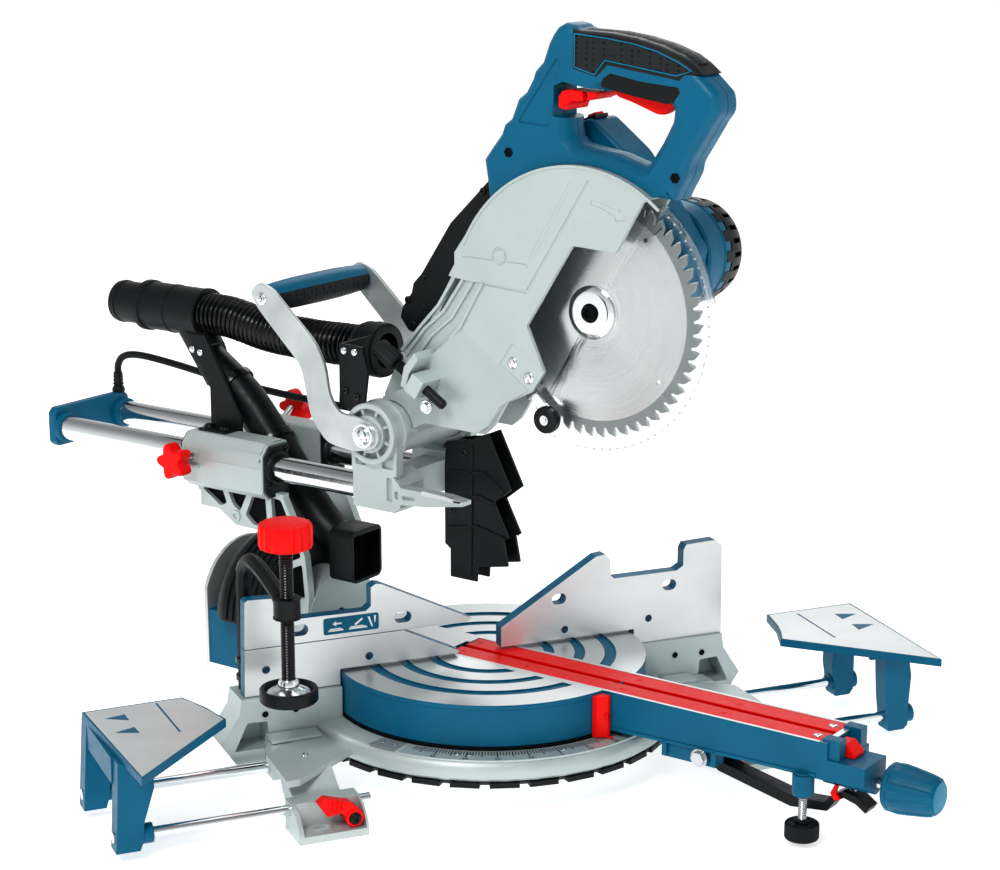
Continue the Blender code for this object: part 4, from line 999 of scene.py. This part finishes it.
def make_scale():
    """The mitre scale on its ring: ticks, figures, the strip under them and its screws."""
    ticks, figures = [], []
    for degree in range(-48, 61):
        reach = 157.0 if degree % 10 == 0 else 154.6 if degree % 5 == 0 else 151.6
        along = Vector(polar((0, 0), 1, degree - 90))
        across = Vector((-along.y, along.x)) * (0.55 if degree % 5 == 0 else 0.42)
        near, far = along * 143.6, along * reach
        corners = [near + across, far + across, far - across, near - across]
        ticks.append(prism([tuple(corner) for corner in corners], "xy", RING_TOP + 0.1, RING_TOP + 0.26))
        if degree % 10 == 0:
            place = (*(along * 160.4), RING_TOP + 0.18)
            figures.append(lettering(str(abs(degree)), 5.6, 0.12, place, degree))
    piece("scale_ticks", merged(*ticks), "base", "black_print")
    piece("scale_figures", merged(*figures), "base", "black_print")
    band = arc((0, 0), 163.4, -141, -26, 80) + arc((0, 0), 142.8, -26, -141, 80)
    piece("scale_strip", prism(band, "xy", RING_TOP - 1.6, RING_TOP + 0.14), "base", "silver")
    plate = arc((0, 0), 162.6, -152, -142.5, 8) + arc((0, 0), 143.4, -142.5, -152, 8)
    piece("scale_plate", prism(plate, "xy", RING_TOP, RING_TOP + 0.8), "base", "silver_dark")
    for i, degree in enumerate((-149.5, -145, -123, -119, -88, -61)):
        place = (*polar((0, 0), 151.5, degree), RING_TOP + 0.3)
        screw(place, Z, 2.2, "chrome", "base", "scale_screw_%d" % i, 0.7)


def make_base():
    """The casting's small features: the turntable's gap, the ribbed foot ring, screws and holes."""
    # a near-black ring in the gap round the turntable: painted shade in the gap
    lip = turned([(137, 51.7), (141.4, 51.7), (141.4, 54.9), (137, 54.9)], (0, 0, 0), Z, 120)
    piece("ring_gap_shade", lip, "base", "dark")
    feet = [block((149, -12.6, 26.5), (163, 12.6, 31.2)) for _ in range(30)]
    for i, foot in enumerate(feet):
        foot.transform(Matrix.Rotation(math.radians(12 * i), 4, "Z"))
    feet.append(turned([(146, 28.5), (160, 28.5), (162.5, 32), (146, 31.4)], (0, 0, 0), Z, 90))
    piece("ring_feet", merged(*feet), "base", "black")
    for side in (-1, 1):
        for i, (x, z) in enumerate(((213, 64), (185, 65))):
            # each pedestal hole is a near-black disc, not cut: painted shade in the hole
            hole = turned([(0, 0), (2.9, 0), (2.9, 0.5), (0, 0.5)], (side * x, -4.4, z), V, 24)
            piece("pedestal_hole_%d_%d" % (side + 1, i), hole, "base", "dark")
            rim = turned([(2.9, 0), (4, 0), (4, 0.4), (2.9, 0.4)], (side * x, -4.35, z), V, 24)
            piece("pedestal_hole_rim_%d_%d" % (side + 1, i), rim, "base", "silver")
        for i, (x, y) in enumerate(((196, -60), (160, -30))):
            screw((side * x, y, 44.0), Z, 3.6, "chrome", "base", "wing_screw_%d_%d" % (side + 1, i), 1.6)
        rim, hole = ([(side * 204 + x * 1.7, y - 131) for x, y in disc((0, 0), size, 24)]
                     for size in (5.2, 4.2))
        rim_mesh = cut(prism(rim, "xy", 6.3, 7.6), prism(hole, "xy", 5, 9))
        piece("bench_hole_rim_%d" % (side + 1), bevelled(rim_mesh, 0.4), "base", "silver")
        low, high = (-214, -168) if side < 0 else (168, 198)
        cap = bevelled(block((low, -26, 43.8), (high, -6, 47)), 1.0)
        piece("rod_lug_cap_%d" % (side + 1), cap, "base", "silver")


def make_clamp():
    """The work clamp: fluted knob, black thread, chrome cup in its ring."""
    def fluted(angle, radius):
        return 1 + 0.035 * max(-1, min(1, 2.2 * math.cos(18 * angle))) if radius > 19 else 1
    place = (-207, -55, 0)
    knob = [(0, 227), (17, 227), (21.5, 229), (22.2, 232), (22.2, 246), (21, 249.5), (16, 251.4), (0, 252)]
    piece("clamp_knob", turned(knob, place, Z, 144, wave=fluted), "clamp_spindle", "red",
          replaces=["clamp_screw"])
    thread = turned(threaded(6.0, 107.4, 227, 2.4, 0.86), place, Z, 32)
    piece("clamp_thread", thread, "clamp_spindle", "black_gloss")
    neck = [(0, 106), (7, 106), (9, 107), (9, 110), (7, 113), (0, 113)]
    piece("clamp_neck", turned(neck, place, Z, 32), "clamp_spindle", "chrome")
    cup = [(0, 98), (19.5, 98), (20.5, 101), (17, 103.5), (10, 106), (7, 107.2), (0, 107.2)]
    piece("clamp_cup", turned(cup, place, Z, 64), "clamp_spindle", "chrome", replaces=["clamp_pad"])
    ring = [(0, 93), (23.6, 93), (25, 94.5), (25, 103.5), (24, 105), (22, 105), (20.6, 103.4), (20.6, 98),
            (0, 98)]
    piece("clamp_ring", turned(ring, place, Z, 64), "clamp_spindle", "black")
    for i, z in enumerate((166.6, 183.2)):
        lock = [(6.6, z), (11.9, z), (12.2, z + 0.8), (11.9, z + 1.6), (6.6, z + 1.6)]
        piece("clamp_collar_%d" % i, turned(lock, place, Z, 40), "clamp_arm", "black")
    for i, z in enumerate((88, 104)):
        band = turned([(7, 0), (8.6, 0.4), (8.6, 5), (7, 5.4)], (-221, 25, z), Z, 32)
        piece("clamp_post_band_%d" % i, band, "clamp_arm", "black_gloss")


# ---------------------------------------------------------------- turntable

def make_turntable():
    """Machined top with three sunken blue arcs on either side of the insert."""
    table = from_cad("turntable")
    tools = []
    for inner, outer in ((48.5, 58.0), (76.5, 86.0), (103.5, 114.0)):
        for first, last in ((0, 180), (180, 360)):
            wide, close = (math.degrees(math.asin(29.5 / radius)) for radius in (outer, inner))
            first, last = first - 90, last - 90
            outline = (arc((0, 0), outer, first + wide, last - wide, 64)
                       + arc((0, 0), inner, last - close, first + close, 64))
            tools.append(prism(outline, "xy", TABLE_TOP - 1.4, TABLE_TOP + 2))
    table = cut(table, *tools)

    def bare_top(centre, normal):
        return 0 if normal.z > 0.9 and centre.z > TABLE_TOP - 0.4 and centre.xy.length < TABLE_RADIUS else 1
    piece("turntable_casting", table, "table", ("brushed_round", "blue"), replaces=["turntable"],
          paint=bare_top, smooth=25)
    rim = [(139.4, 91.2), (140.2, 91.9), (141.2, 91.2), (141.2, 88), (140.6, 87.6)]
    piece("turntable_rim", turned(rim, (0, 0, 0), Z, 180, -52, 284), "table", "blue")
    for i, u in enumerate((-25.4, 25)):
        piece("insert_edge_%d" % i, block((u, -348, 91.6), (u + 3, 31, 92.1)), "table", "brushed")
    piece("insert_end_bar", bevelled(block((-25, -355.4, 88), (28, -349.4, 92.2)), 0.6), "table", "brushed")
    for name, low, high in (("left", -22, -2), ("right", 3.8, 25)):
        shape = bevelled(block((low, -349, 88.8), (high, 30, 91.8)), 0.5)
        piece(name + "_insert", shape, "table", "red", replaces=[name + "_kerf_insert"])
        middle = (low + high) / 2
        for i, v in enumerate((-340, -250, -150, -50, 20)):
            radius, finish, height = (4.0, "chrome", 1.0) if i == 0 else (3.0, "red", 0.4)
            screw((middle, v, 91.7), Z, radius, finish, "table", "%s_insert_screw_%d" % (name, i), height)
    # near-black walls and floor in the channel under the kerf: painted shade in the slot
    walls = (block((-8.8, -349, 70), (-8.2, 30, 88.6)), block((10.2, -349, 70), (10.8, 30, 88.6)),
             block((-8.6, -349, 66.4), (10.6, 30, 67.4)))
    piece("kerf_shade_walls", merged(*walls), "table", "dark")


def make_arm():
    """The table's arm with its raised bands, the mitre pointer and the red flag."""
    softened("arm_casting", "table_arm", "table", "blue", 1.4, 3, 30, smooth=25)
    for side, u in ((-1, -26), (1, 28)):
        low, high = sorted((u, u + side * 1.0))
        band = prism([(-150, 58), (-346, 61), (-346, 64), (-150, 61)], "yz", low, high)
        piece("arm_band_%d" % (side + 1), bevelled(band, 0.4), "table", "blue")
        for i, v in enumerate((-202, -250)):
            rib = bevelled(block((low, v - 2.5, 47), (high + 0.5, v + 2.5, 62)), 0.6)
            piece("arm_rib_%d_%d" % (side + 1, i), rib, "table", "blue")
    boss = turned([(4, 43), (8.8, 43), (9.2, 44), (9.2, 60), (8.8, 61), (4, 61)], (-24, -334, 0), Z, 32)
    piece("arm_foot_boss", boss, "table", "blue")
    softened("pointer", "mitre_pointer", "table", "red", 0.8, 2, 30)
    tongue = prism([(-34, -139), (-28, -139), (-30.5, -153), (-31.5, -153)], "xy", 52.4, 53.6)
    piece("pointer_tongue", tongue, "table", "red")
    screw((-32, -148.2, 72), (0, -1, 0), 3.0, "red", "table", "pointer_screw", 1.0)
    softened("flag", "detent_flag", "table", "red", 0.8, 2, 30)


def make_knob():
    """The mitre lock knob: a tapered barrel with raised grips and a lighter face."""
    def fluted(angle, radius):
        lobe = math.cos(9 * angle)
        return 1 + (0.055 * max(-0.6, min(1, 3 * lobe)) if 15 < radius < 20 else 0)
    profile = [(0, -401.2), (17, -401.2), (19.2, -403), (20.2, -406), (19.8, -412), (19, -419), (18, -427),
               (16.8, -436), (15.6, -441), (13.8, -443.6), (0, -444)]
    piece("knob_barrel", turned(profile, (0, 0, 58), V, 144, wave=fluted), "mitre_lock", "blue_plastic",
          replaces=["mitre_lock_knob"])
    face = [(0, -443.4), (13, -443.4), (13.2, -444.3), (12.4, -444.9), (0, -444.9)]
    piece("knob_face", turned(face, (0, 0, 58), V, 64), "mitre_lock", "blue_light")
    piece("knob_shaft", rod((0, -368, 58), (0, -402, 58), 5, 32), "mitre_lock", "chrome")
    collar = [(0, -400), (18.4, -400), (20.2, -402), (20.2, -405), (0, -405)]
    piece("knob_collar", turned(collar, (0, 0, 58), V, 72), "mitre_lock", "blue_plastic")


def make_detent():
    softened("detent", "detent_lever", "detent", "black", 1.2, 2, 30)
    screw((0, -366, 45), (0, -0.2, 1), 5.2, "chrome", "detent", "detent_screw", 1.6)
    bolt = merged(turned([(0, -29.9), (7.9, -29.9), (7.9, -26.2), (0, -26.2)], (0, -238, 54), U, 32),
                  bevelled(prism(disc((-238, 54), 6.6, 6), "yz", -33.6, -29.8), 0.6))
    piece("detent_bolt", bolt, "detent", "steel")
    hook = [(-356, 38), (-352, 44), (-356, 52), (-359, 52), (-357, 45), (-361, 40)]
    piece("detent_hook", prism(hook, "yz", -11, -8), "detent", "red")


def make_foot():
    def knurled(angle, radius):
        return 1 + 0.03 * math.cos(36 * angle) if radius > 13.4 else 1
    place = (-24, -334, 0)
    knob = [(0, 4), (12, 4), (13.6, 5), (14, 6.5), (14, 16.5), (13.6, 18), (12, 19), (0, 19)]
    piece("foot_knob", turned(knob, place, Z, 216, wave=knurled), "foot_screw", "black",
          replaces=["arm_foot"])
    piece("foot_thread", turned(threaded(3.6, 18, 56, 1.9), place, Z, 32), "foot_screw", "steel")
    nut = [(0, 19), (6.5, 19), (6.5, 21.5), (0, 21.5)]
    piece("foot_nut", turned(nut, place, Z, 32), "foot_screw", "black")


def make_base_parts():
    make_fences()
    for side in (-1, 1):
        make_extension(side)
        make_lever(side)
    make_scale()
    make_base()
    make_clamp()
    make_turntable()
    make_arm()
    make_knob()
    make_detent()
    make_foot()


# ---------------------------------------------------------------- bevel arm and dust duct

BEARING = [(-57, 219), (-50, 212), (-25, 212), (-25, 260.5), (-49, 260.5), (-57, 251)]
WEB_POCKETS = (
    ((300, 211), (303, 206.5), (281, 193), (273, 197), (279, 211)),
    ((272, 211), (266, 197), (257, 191), (247, 211)),
    ((240, 211), (250, 188.5), (240, 181), (223, 181), (225, 211)),
    ((218, 211), (216, 181), (205, 181), (195, 187), (206, 210)),
    ((199, 176), (199, 151), (183, 159), (192, 181)),
    ((199, 144), (199, 117), (179, 120), (182, 152)),
)


def make_bevel_arm():
    """The tilting casting with its pocketed webs, and the bearing housings' end collars."""
    arm = from_cad("bevel_arm")
    tools = []
    for side in (-1, 1):
        tools += [prism(rounded(pocket, 2.5, 3), "yz", *sorted((side * 46, side * 40.5)))
                  for pocket in WEB_POCKETS]
        tools += [prism(rounded_box((low, 217), (high, 229), 2), "yz", *sorted((side * 60, side * 56)))
                  for low, high in ((222, 272), (277, 306))]
    arm = bevelled(cut(arm, *tools), 0.8, 2, 40)

    # the floors of the web pockets take the near-black finish: painted shade in the pockets
    def pocket_floor(centre, normal):
        return 1 if abs(normal.x) > 0.9 and 38 < abs(centre.x) < 42 and centre.z > 110 else 0
    piece("arm_frame", arm, "bevel_frame", ("silver", "dark"), replaces=["bevel_arm"], paint=pocket_floor)
    for side in (-1, 1):
        outline = BEARING if side < 0 else [(-a, b) for a, b in BEARING]
        hole = (side * RAIL_OFFSET, RAIL_HEIGHT)
        for end, low, high in (("front", 212.2, 216), ("rear", 316, 319)):
            plate = bevelled(prism(outline, "xz", low, high), 1.2)
            plate = cut(plate, prism(disc(hole, 12.6, 48), "xz", 200, 330))
            piece("bearing_collar_%s_%d" % (end, side + 1), plate, "bevel_frame", "black")
        seal = [(12.5, 209.6), (16, 209.6), (17, 212.3), (12.5, 212.3)]
        seal = turned(seal, (hole[0], 0, hole[1]), V, 48)
        piece("rail_seal_%d" % (side + 1), seal, "bevel_frame", "rubber")
        for i, (a, b) in enumerate(((52, 250), (52, 222), (29, 256))):
            screw((side * a, 212.1, b), (0, -1, 0), 2.8, "black_gloss", "bevel_frame",
                  "collar_screw_%d_%d" % (side + 1, i), 1.2)
        low, high = sorted((side * 57.4, side * 58.4))
        ridge = block((low, 217, 216), (high, 315, 240))
        piece("bearing_ridge_%d" % (side + 1), bevelled(ridge, 0.4), "bevel_frame", "silver")
        crown = [(side * 26, 261.6), (side * 50, 261.6), (side * 56.5, 254), (side * 58, 250),
                 (side * 52.5, 259), (side * 49.5, 263.2), (side * 26, 263.2)]
        crown = bevelled(prism(crown, "xz", 219, 313), 0.5)
        piece("bearing_crown_%d" % (side + 1), crown, "bevel_frame", "silver")
        low, high = sorted((side * 58, side * 63))
        for i, z in enumerate((233, 247)):
            tab = bevelled(block((low, 294, z - 2), (high, 316, z + 1)), 0.7)
            piece("knob_tab_%d_%d" % (side + 1, i), tab, "bevel_frame", "silver")
        for i, (v, z) in enumerate(((262, 186), (190, 172))):
            ring = turned([(2.6, 0), (5.6, 0), (5.6, 1.4), (2.6, 1.4)], (side * 44.8, v, z), (side, 0, 0), 28)
            piece("web_boss_%d_%d" % (side + 1, i), ring, "bevel_frame", "silver")


def star(side, place):
    """A knob with five soft lobes and its dished middle."""
    rings = []
    for reach, level in ((0.80, 0.0), (0.97, 1.6), (1.0, 4), (1.0, 12), (0.96, 14.6), (0.82, 16)):
        lobes = []
        for turn in (360 * i / 80 for i in range(80)):
            radius = 14.6 + 3.1 * math.cos(math.radians(5 * turn))
            lobes.append(polar(place, radius * reach, turn))
        rings.append((lobes, side * (72 + level)))
    return lofted(rings, "yz")


def make_slide_knobs():
    piece("left_star", star(-1, (305, 240)), "slide_lock", "red", replaces=["left_slide_knob"])
    piece("left_star_screw", rod((-54, 305, 240), (-73, 305, 240), 3.8, 24), "slide_lock", "steel")
    piece("right_star", star(1, (292, 264)), "bevel_frame", "red")
    piece("right_star_screw", rod((56, 292, 252), (73, 292, 264), 3.8, 24), "bevel_frame", "steel")


def make_ducts():
    """The lower duct with its round-cornered mouth, the adapter above it and the rear cover."""
    corners = []
    for side, end, z, turn in ((1, 1, 184, 0), (-1, 1, 184, 90), (-1, -1, 134, 180), (1, -1, 134, 270)):
        round_part = arc((side * 15, z - end * 7), 7, turn, turn + 90, 6)
        corners.append(prism([(side * 23, z + end)] + round_part, "xz", 139, 172))
    duct = cut(from_cad("lower_dust_duct"), *corners)
    piece("duct_shell", bevelled(duct, 0.8, 2, 45), "bevel_frame", "black", replaces=["lower_dust_duct"])
    for i, (v, z, tilt) in enumerate(((252, 251, 0.82), (300, 299, 0.6))):
        ring = turned([(18, -4), (20.4, -3.4), (20.8, 0), (20.4, 3.4), (18, 4)], (0, v, z),
                      (0, math.cos(tilt), math.sin(tilt)), 48)
        piece("duct_ring_%d" % i, ring, "bevel_frame", "black_gloss")
    softened("adapter_shell", "dust_adapter", "bevel_frame", "black", 0.7, 2, 45)
    for i, (v, radius) in enumerate(((333, 23.8), (372, 23.5), (440, 20.7))):
        band = [(radius - 1.2, -2.4), (radius, -1.8), (radius, 1.8), (radius - 1.2, 2.4)]
        piece("adapter_band_%d" % i, turned(band, (0, v, 365), V, 64), "bevel_frame", "black")
    softened("bracket_sheet", "adapter_bracket", "bevel_frame", "black", 0.5)
    for i, (v, z) in enumerate(((318, 333), (328, 335))):
        screw((-27.1, v, z), (-1, 0, 0), 3.4, "chrome", "bevel_frame", "bracket_screw_%d" % i, 1.6)
    for i, v in enumerate((280, 300)):
        screw((-37, v, 265.3), Z, 5.0, "black_gloss", "bevel_frame", "bracket_foot_screw_%d" % i, 3.4)
    softened("cover_shell", "rear_cover", "table", "black", 1.0, 2, 40)
    for i in range(6):
        rib = [(75.6, -1.5), (77.2, -1), (77.2, 1), (75.6, 1.5)]
        rib = turned(rib, (0, 212 + 7.6 * i, TABLE_TOP), V, 60, 182, 176)
        piece("cover_rib_%d" % i, rib, "table", "black")


def make_hose():
    """The ribbed hose from the adapter to the head's bracket."""
    points = [(0, 329.4, 365), (0, 300, 364.2), (0, 255, 357), (0, 205, 354.5), (0, 160, 355),
              (0, 142.2, 355)]
    route = smooth_route(points, 44)

    def section(distance):
        return disc((0, 0), 17.8 + 2.1 * math.cos(2 * math.pi * distance / 5.6), 28)
    data = swept(route, section)
    data.transform(to_frame("bevel_frame"))
    mesh = as_mesh("hose_ribbed", data)
    mesh.materials.append(FINISH["black_gloss"])
    mesh.shade_smooth()
    item = as_object("hose_ribbed", mesh)
    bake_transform(item)
    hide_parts("dust_hose")


# ---------------------------------------------------------------- slide carriage

BRACKET_WINDOWS = (
    ((63, 235), (69, 235), (69, 256), (63, 256)),
    ((56, 238), (60, 238), (60, 245), (56, 245)),
    ((38, 240), (52, 238.5), (52, 242), (38, 243)),
    ((62, 264), (74, 264), (74, 276), (60, 276)),
    ((92, 264), (104, 264), (104, 280), (100, 276)),
)


def make_head_bracket():
    """The casting on the front of the rails, with the ribbed ring round the head's pivot."""
    shape = from_cad("head_bracket")
    tools = []
    for side in (-1, 1):
        low, high = sorted((side * 61, side * 57))
        tools += [prism(rounded(window, 1.5, 2), "yz", low, high) for window in BRACKET_WINDOWS]
    shape = bevelled(cut(shape, *tools), 0.8, 2, 40)
    piece("bracket_casting", shape, "carriage", "silver", replaces=["head_bracket"])
    for side in (-1, 1):
        ring = [(22.6, side * 59), (22.6, side * 66), (24, side * 66.8), (26.6, side * 66.8),
                (27.6, side * 66), (27.6, side * 59)]
        piece("pivot_ring_%d" % (side + 1), turned(ring, (0, *PIVOT), U, 72), "carriage", "silver")
        low, high = sorted((side * 59, side * 64.5))
        ribs = [spun(block((low, 14, -1.3), (high, 23.2, 1.3)), PIVOT, 45 * i + 20) for i in range(8)]
        piece("pivot_ribs_%d" % (side + 1), merged(*ribs), "carriage", "silver")
        # the recess floor between the ribs is a darker silver: painted shade in the recess
        floor = turned([(14, side * 60.2), (22.8, side * 60.2), (22.8, side * 60.7), (14, side * 60.7)],
                       (0, *PIVOT), U, 48)
        piece("pivot_floor_%d" % (side + 1), floor, "carriage", "silver_dark")
        inner = [(24.5, side * 45), (28, side * 45), (28.6, side * 46), (28.6, side * 50), (24.5, side * 50)]
        piece("pivot_step_%d" % (side + 1), turned(inner, (0, *PIVOT), U, 72), "carriage", "silver")
        name = "pivot_screw_%d" % (side + 1)
        screw((side * 76, *PIVOT), (side, 0, 0), 8.4, "chrome", "carriage", name, 2.6)
        if side < 0:
            prong = [(30, 250.6), (30, 245.6), (-14, 244.4), (-14.6, 246.6), (4, 249.4)]
            piece("prong_bar", bevelled(prism(prong, "yz", -60.8, -55), 0.6), "carriage", "brushed")
            # the slot is a near-black plate on the bar, not cut: painted shade in the slot
            slot = prism(rounded_box((-12.5, 245.6), (-5, 247.0), 0.5), "yz", -61.1, -60.6)
            piece("prong_slot_shade", slot, "carriage", "dark")
        name = "clamp_bolt_%d" % (side + 1)
        screw((side * 44, 78, 262), Z, 5.4, "black_gloss", "carriage", name, 3.6, "hex")


def make_carry_handle():
    """Two cranked steel side plates and the padded bar between them."""
    outline = [(214, 408), (204, 419), (188, 415), (138, 371), (128, 353), (123, 325), (113, 311), (85, 310),
               (67, 300), (70, 285), (95, 278), (127, 282), (145, 303), (155, 348), (204, 394)]
    for side in (-1, 1):
        low, high = sorted((side * 68, side * 72))
        shape = bevelled(prism(rounded(outline, 9, 5), "yz", low, high), 0.7, 2)
        name = "left" if side < 0 else "right"
        piece(name + "_plate", shape, "carriage", "galvanised", replaces=[name + "_carry_plate"])
        screw((side * 72, 199, 404), (side, 0, 0), 6.0, "chrome", "carriage", name + "_grip_screw", 2.4)
    profile = [(0, -67.7), (10, -67.7), (12, -65), (13, -50), (13.8, -30), (14, 0), (13.8, 30), (13, 50),
               (12, 65), (10, 67.7), (0, 67.7)]

    def padding(centre, normal):
        return 1 if normal.z + 0.3 * normal.y < 0.12 and abs(centre.x) < 62 else 0
    piece("grip_bar", turned(profile, (0, 198, 404), U, 64), "carriage", ("blue_plastic", "dotted_rubber"),
          replaces=["carry_grip"], paint=padding)


def make_rails():
    """The rails' end cap and the rings where the rails enter it and the head's bracket."""
    softened("end_cap", "rail_end_cap", "carriage", "blue_plastic", 2.0, 3, 30)
    collar = [(12.1, 484), (14.6, 485), (15, 490), (12.1, 490)]
    ring = [(12.1, 104), (15, 104), (15.6, 107), (15, 109.5), (12.1, 109.5)]
    for side in (-1, 1):
        u = side * RAIL_OFFSET
        screw((u, 500, RAIL_HEIGHT), V, 6, "chrome", "carriage", "cap_screw_%d" % (side + 1), 2.0)
        place = (u, 0, RAIL_HEIGHT)
        piece("rail_collar_%d" % (side + 1), turned(collar, place, V, 48), "carriage", "blue_plastic")
        piece("rail_socket_%d" % (side + 1), turned(ring, place, V, 48), "carriage", "silver")


def make_hose_bracket():
    softened("hose_holder", "hose_bracket", "carriage", "black", 0.7, 2, 35)
    for i, (v, z) in enumerate(((98, 326), (111, 330), (100, 366), (112, 366))):
        finish = "black_gloss" if i < 2 else "chrome"
        screw((-63.4, v, z), (-1, 0, 0), 3.4, finish, "carriage", "holder_screw_%d" % i, 1.8)
    cuff = [(20, 116), (24.6, 116), (25.4, 119), (25.4, 126), (24.6, 129), (24.6, 136), (22.4, 141.6),
            (20, 141.6)]
    piece("hose_cuff", turned(cuff, (0, 0, 355), V, 64), "carriage", "black")


def make_chute():
    """The rubber chute behind the blade, with stiffening folds and its fixing screws."""
    softened("chute_rubber", "dust_chute", "carriage", "rubber", 0.5, 2, 40)
    folds = (((-24, 247), (-2, 262), (38, 258), (38, 255), (-1, 258.6), (-22, 244)),
             ((-12, 236), (4, 240), (38, 232), (38, 229), (4, 236.6), (-11, 233)),
             ((-26, 205), (6, 212), (38, 206), (38, 203), (6, 208.6), (-24, 202)),
             ((10, 285), (14, 284), (16, 164), (12, 164)))
    for side in (-1, 1):
        ribs = [prism(fold, "yz", *sorted((side * 9.8, side * 11.6))) for fold in folds]
        piece("chute_folds_%d" % (side + 1), bevelled(merged(*ribs), 0.5), "carriage", "rubber")
        for i, (v, z) in enumerate(((20, 276), (33, 222))):
            screw((side * 10.4, v, z), (side, 0, 0), 3.2, "black_gloss", "carriage",
                  "chute_screw_%d_%d" % (side + 1, i), 1.4)


def make_cable():
    """The mains cable from its sleeve on the end cap, over the rails and into the head's bracket."""
    points = [(40, 495, 280.3), (40, 494, 288), (40, 488, 296), (41, 476, 300), (43, 456, 300),
              (46, 420, 296), (50, 370, 289), (54, 310, 283), (56, 250, 280), (56, 190, 279),
              (55.5, 150, 279), (55, 118.3, 279)]
    route = [SAW @ (point * MM) for point in smooth_route(points, 6)]
    curve = bpy.data.curves.new("mains_cable", "CURVE")
    curve.dimensions = "3D"
    curve.bevel_depth = CABLE_DIAMETER / 2 * MM
    curve.bevel_resolution = 4
    curve.use_fill_caps = True
    line = curve.splines.new("POLY")
    line.points.add(len(route) - 1)
    for point, place in zip(line.points, route):
        point.co = (*place, 1)
    curve.materials.append(FINISH["rubber"])
    item = as_object("mains_cable", curve)
    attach(item, "carriage")
    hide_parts("power_cable")
    sleeve = [(0, 260.3), (6.5, 260.3), (6.5, 263), (5.6, 264)]
    for i in range(4):
        z = 265 + 3.6 * i
        sleeve += [(5.6 - 0.25 * i, z), (4.6, z + 0.8), (4.6, z + 1.6), (5.4 - 0.25 * i, z + 2.4)]
    sleeve += [(4.4, 280), (0, 280)]
    piece("cable_gland", turned(sleeve, (40, 495, 0), Z, 32), "carriage", "rubber",
          replaces=["cable_sleeve"])


def make_slide_parts():
    make_cable()
    make_bevel_arm()
    make_slide_knobs()
    make_ducts()
    make_hose()
    make_head_bracket()
    make_carry_handle()
    make_rails()
    make_hose_bracket()
    make_chute()


# ---------------------------------------------------------------- studio

def make_studio():
    scene = bpy.context.scene
    scene.view_settings.view_transform = "Standard"
    scene.view_settings.look = "Medium High Contrast"
    world = bpy.data.worlds.new("studio")
    world.use_nodes = True
    background = world.node_tree.nodes["Background"]
    links = world.node_tree.links
    place = world.node_tree.nodes.new("ShaderNodeTexCoord")
    parts = world.node_tree.nodes.new("ShaderNodeSeparateXYZ")
    height = world.node_tree.nodes.new("ShaderNodeMapRange")
    height.inputs["From Min"].default_value = 0.12
    height.inputs["From Max"].default_value = 0.75
    height.inputs["To Min"].default_value = 1.0
    height.inputs["To Max"].default_value = 0.30
    links.new(place.outputs["Generated"], parts.inputs["Vector"])
    links.new(parts.outputs["Z"], height.inputs["Value"])
    links.new(height.outputs["Result"], background.inputs["Color"])
    background.inputs["Strength"].default_value = 0.78
    scene.world = world
    data = bmesh.new()
    bmesh.ops.create_grid(data, x_segments=1, y_segments=1, size=30.0)
    floor = as_object("floor", as_mesh("floor", data))
    floor.location.z = -0.0005
    finish = Nodes("floor")
    finish.shader.inputs["Base Color"].default_value = (0.95, 0.95, 0.95, 1)
    finish.shader.inputs["Roughness"].default_value = 0.8
    finish.shader.inputs["Emission Color"].default_value = (1, 1, 1, 1)
    finish.shader.inputs["Emission Strength"].default_value = 0.5
    floor.data.materials.append(finish.material)
    add_flag("left_flag", (-1.45, -0.62, 0.35), 0.5, 0.7)
    add_flag("left_flag_narrow", (-1.45, 0.30, 0.35), 0.22, 0.7)
    add_light("key", (-1.6, -1.5, 2.2), (0, 0, 0.3), 0.8, 34)
    add_light("fill", (1.9, -1.7, 1.3), (0, 0, 0.3), 1.6, 3)
    add_light("top", (0.1, 0.5, 2.4), (0, 0, 0.2), 1.6, 9)
    add_light("rim", (1.2, 1.8, 1.6), (0, 0, 0.35), 1.0, 6)


def add_flag(name, place, width, height):
    """A matt black board beside the stage, which the bright metal reflects as dark bands."""
    corner = Vector((0.01, width, height)) / 2
    item = as_object(name, as_mesh(name, block(-corner, corner)))
    board = Nodes(name)
    board.shader.inputs["Base Color"].default_value = (0.01, 0.01, 0.01, 1)
    board.shader.inputs["Roughness"].default_value = 0.9
    item.data.materials.append(board.material)
    item.location = place


def add_light(name, place, target, size, power):
    light = bpy.data.lights.new(name, "AREA")
    light.size = size
    light.energy = power
    item = as_object(name, light)
    item.location = place
    item.rotation_euler = (Vector(target) - Vector(place)).to_track_quat("-Z", "Y").to_euler()


def make_camera():
    camera = bpy.data.cameras.new("camera")
    camera.lens = 85.1
    camera.sensor_width = 36
    camera.clip_start = 0.05
    item = as_object("camera", camera)
    back = Vector((-0.3746, -0.8958, 0.2391)).normalized()
    right = Vector((0.9226, -0.3857, 0.0))
    right = (right - back * right.dot(back)).normalized()
    up = back.cross(right)
    turn = Matrix((right, up, back)).transposed()
    place = Vector((-0.7723, -1.8706, 0.7913)) + BASE.translation
    item.matrix_world = Matrix.Translation(place) @ turn.to_4x4()
    bpy.context.scene.camera = item


# ---------------------------------------------------------------- build

finish_cad()
make_base_parts()
make_slide_parts()
make_head()
make_studio()
make_camera()
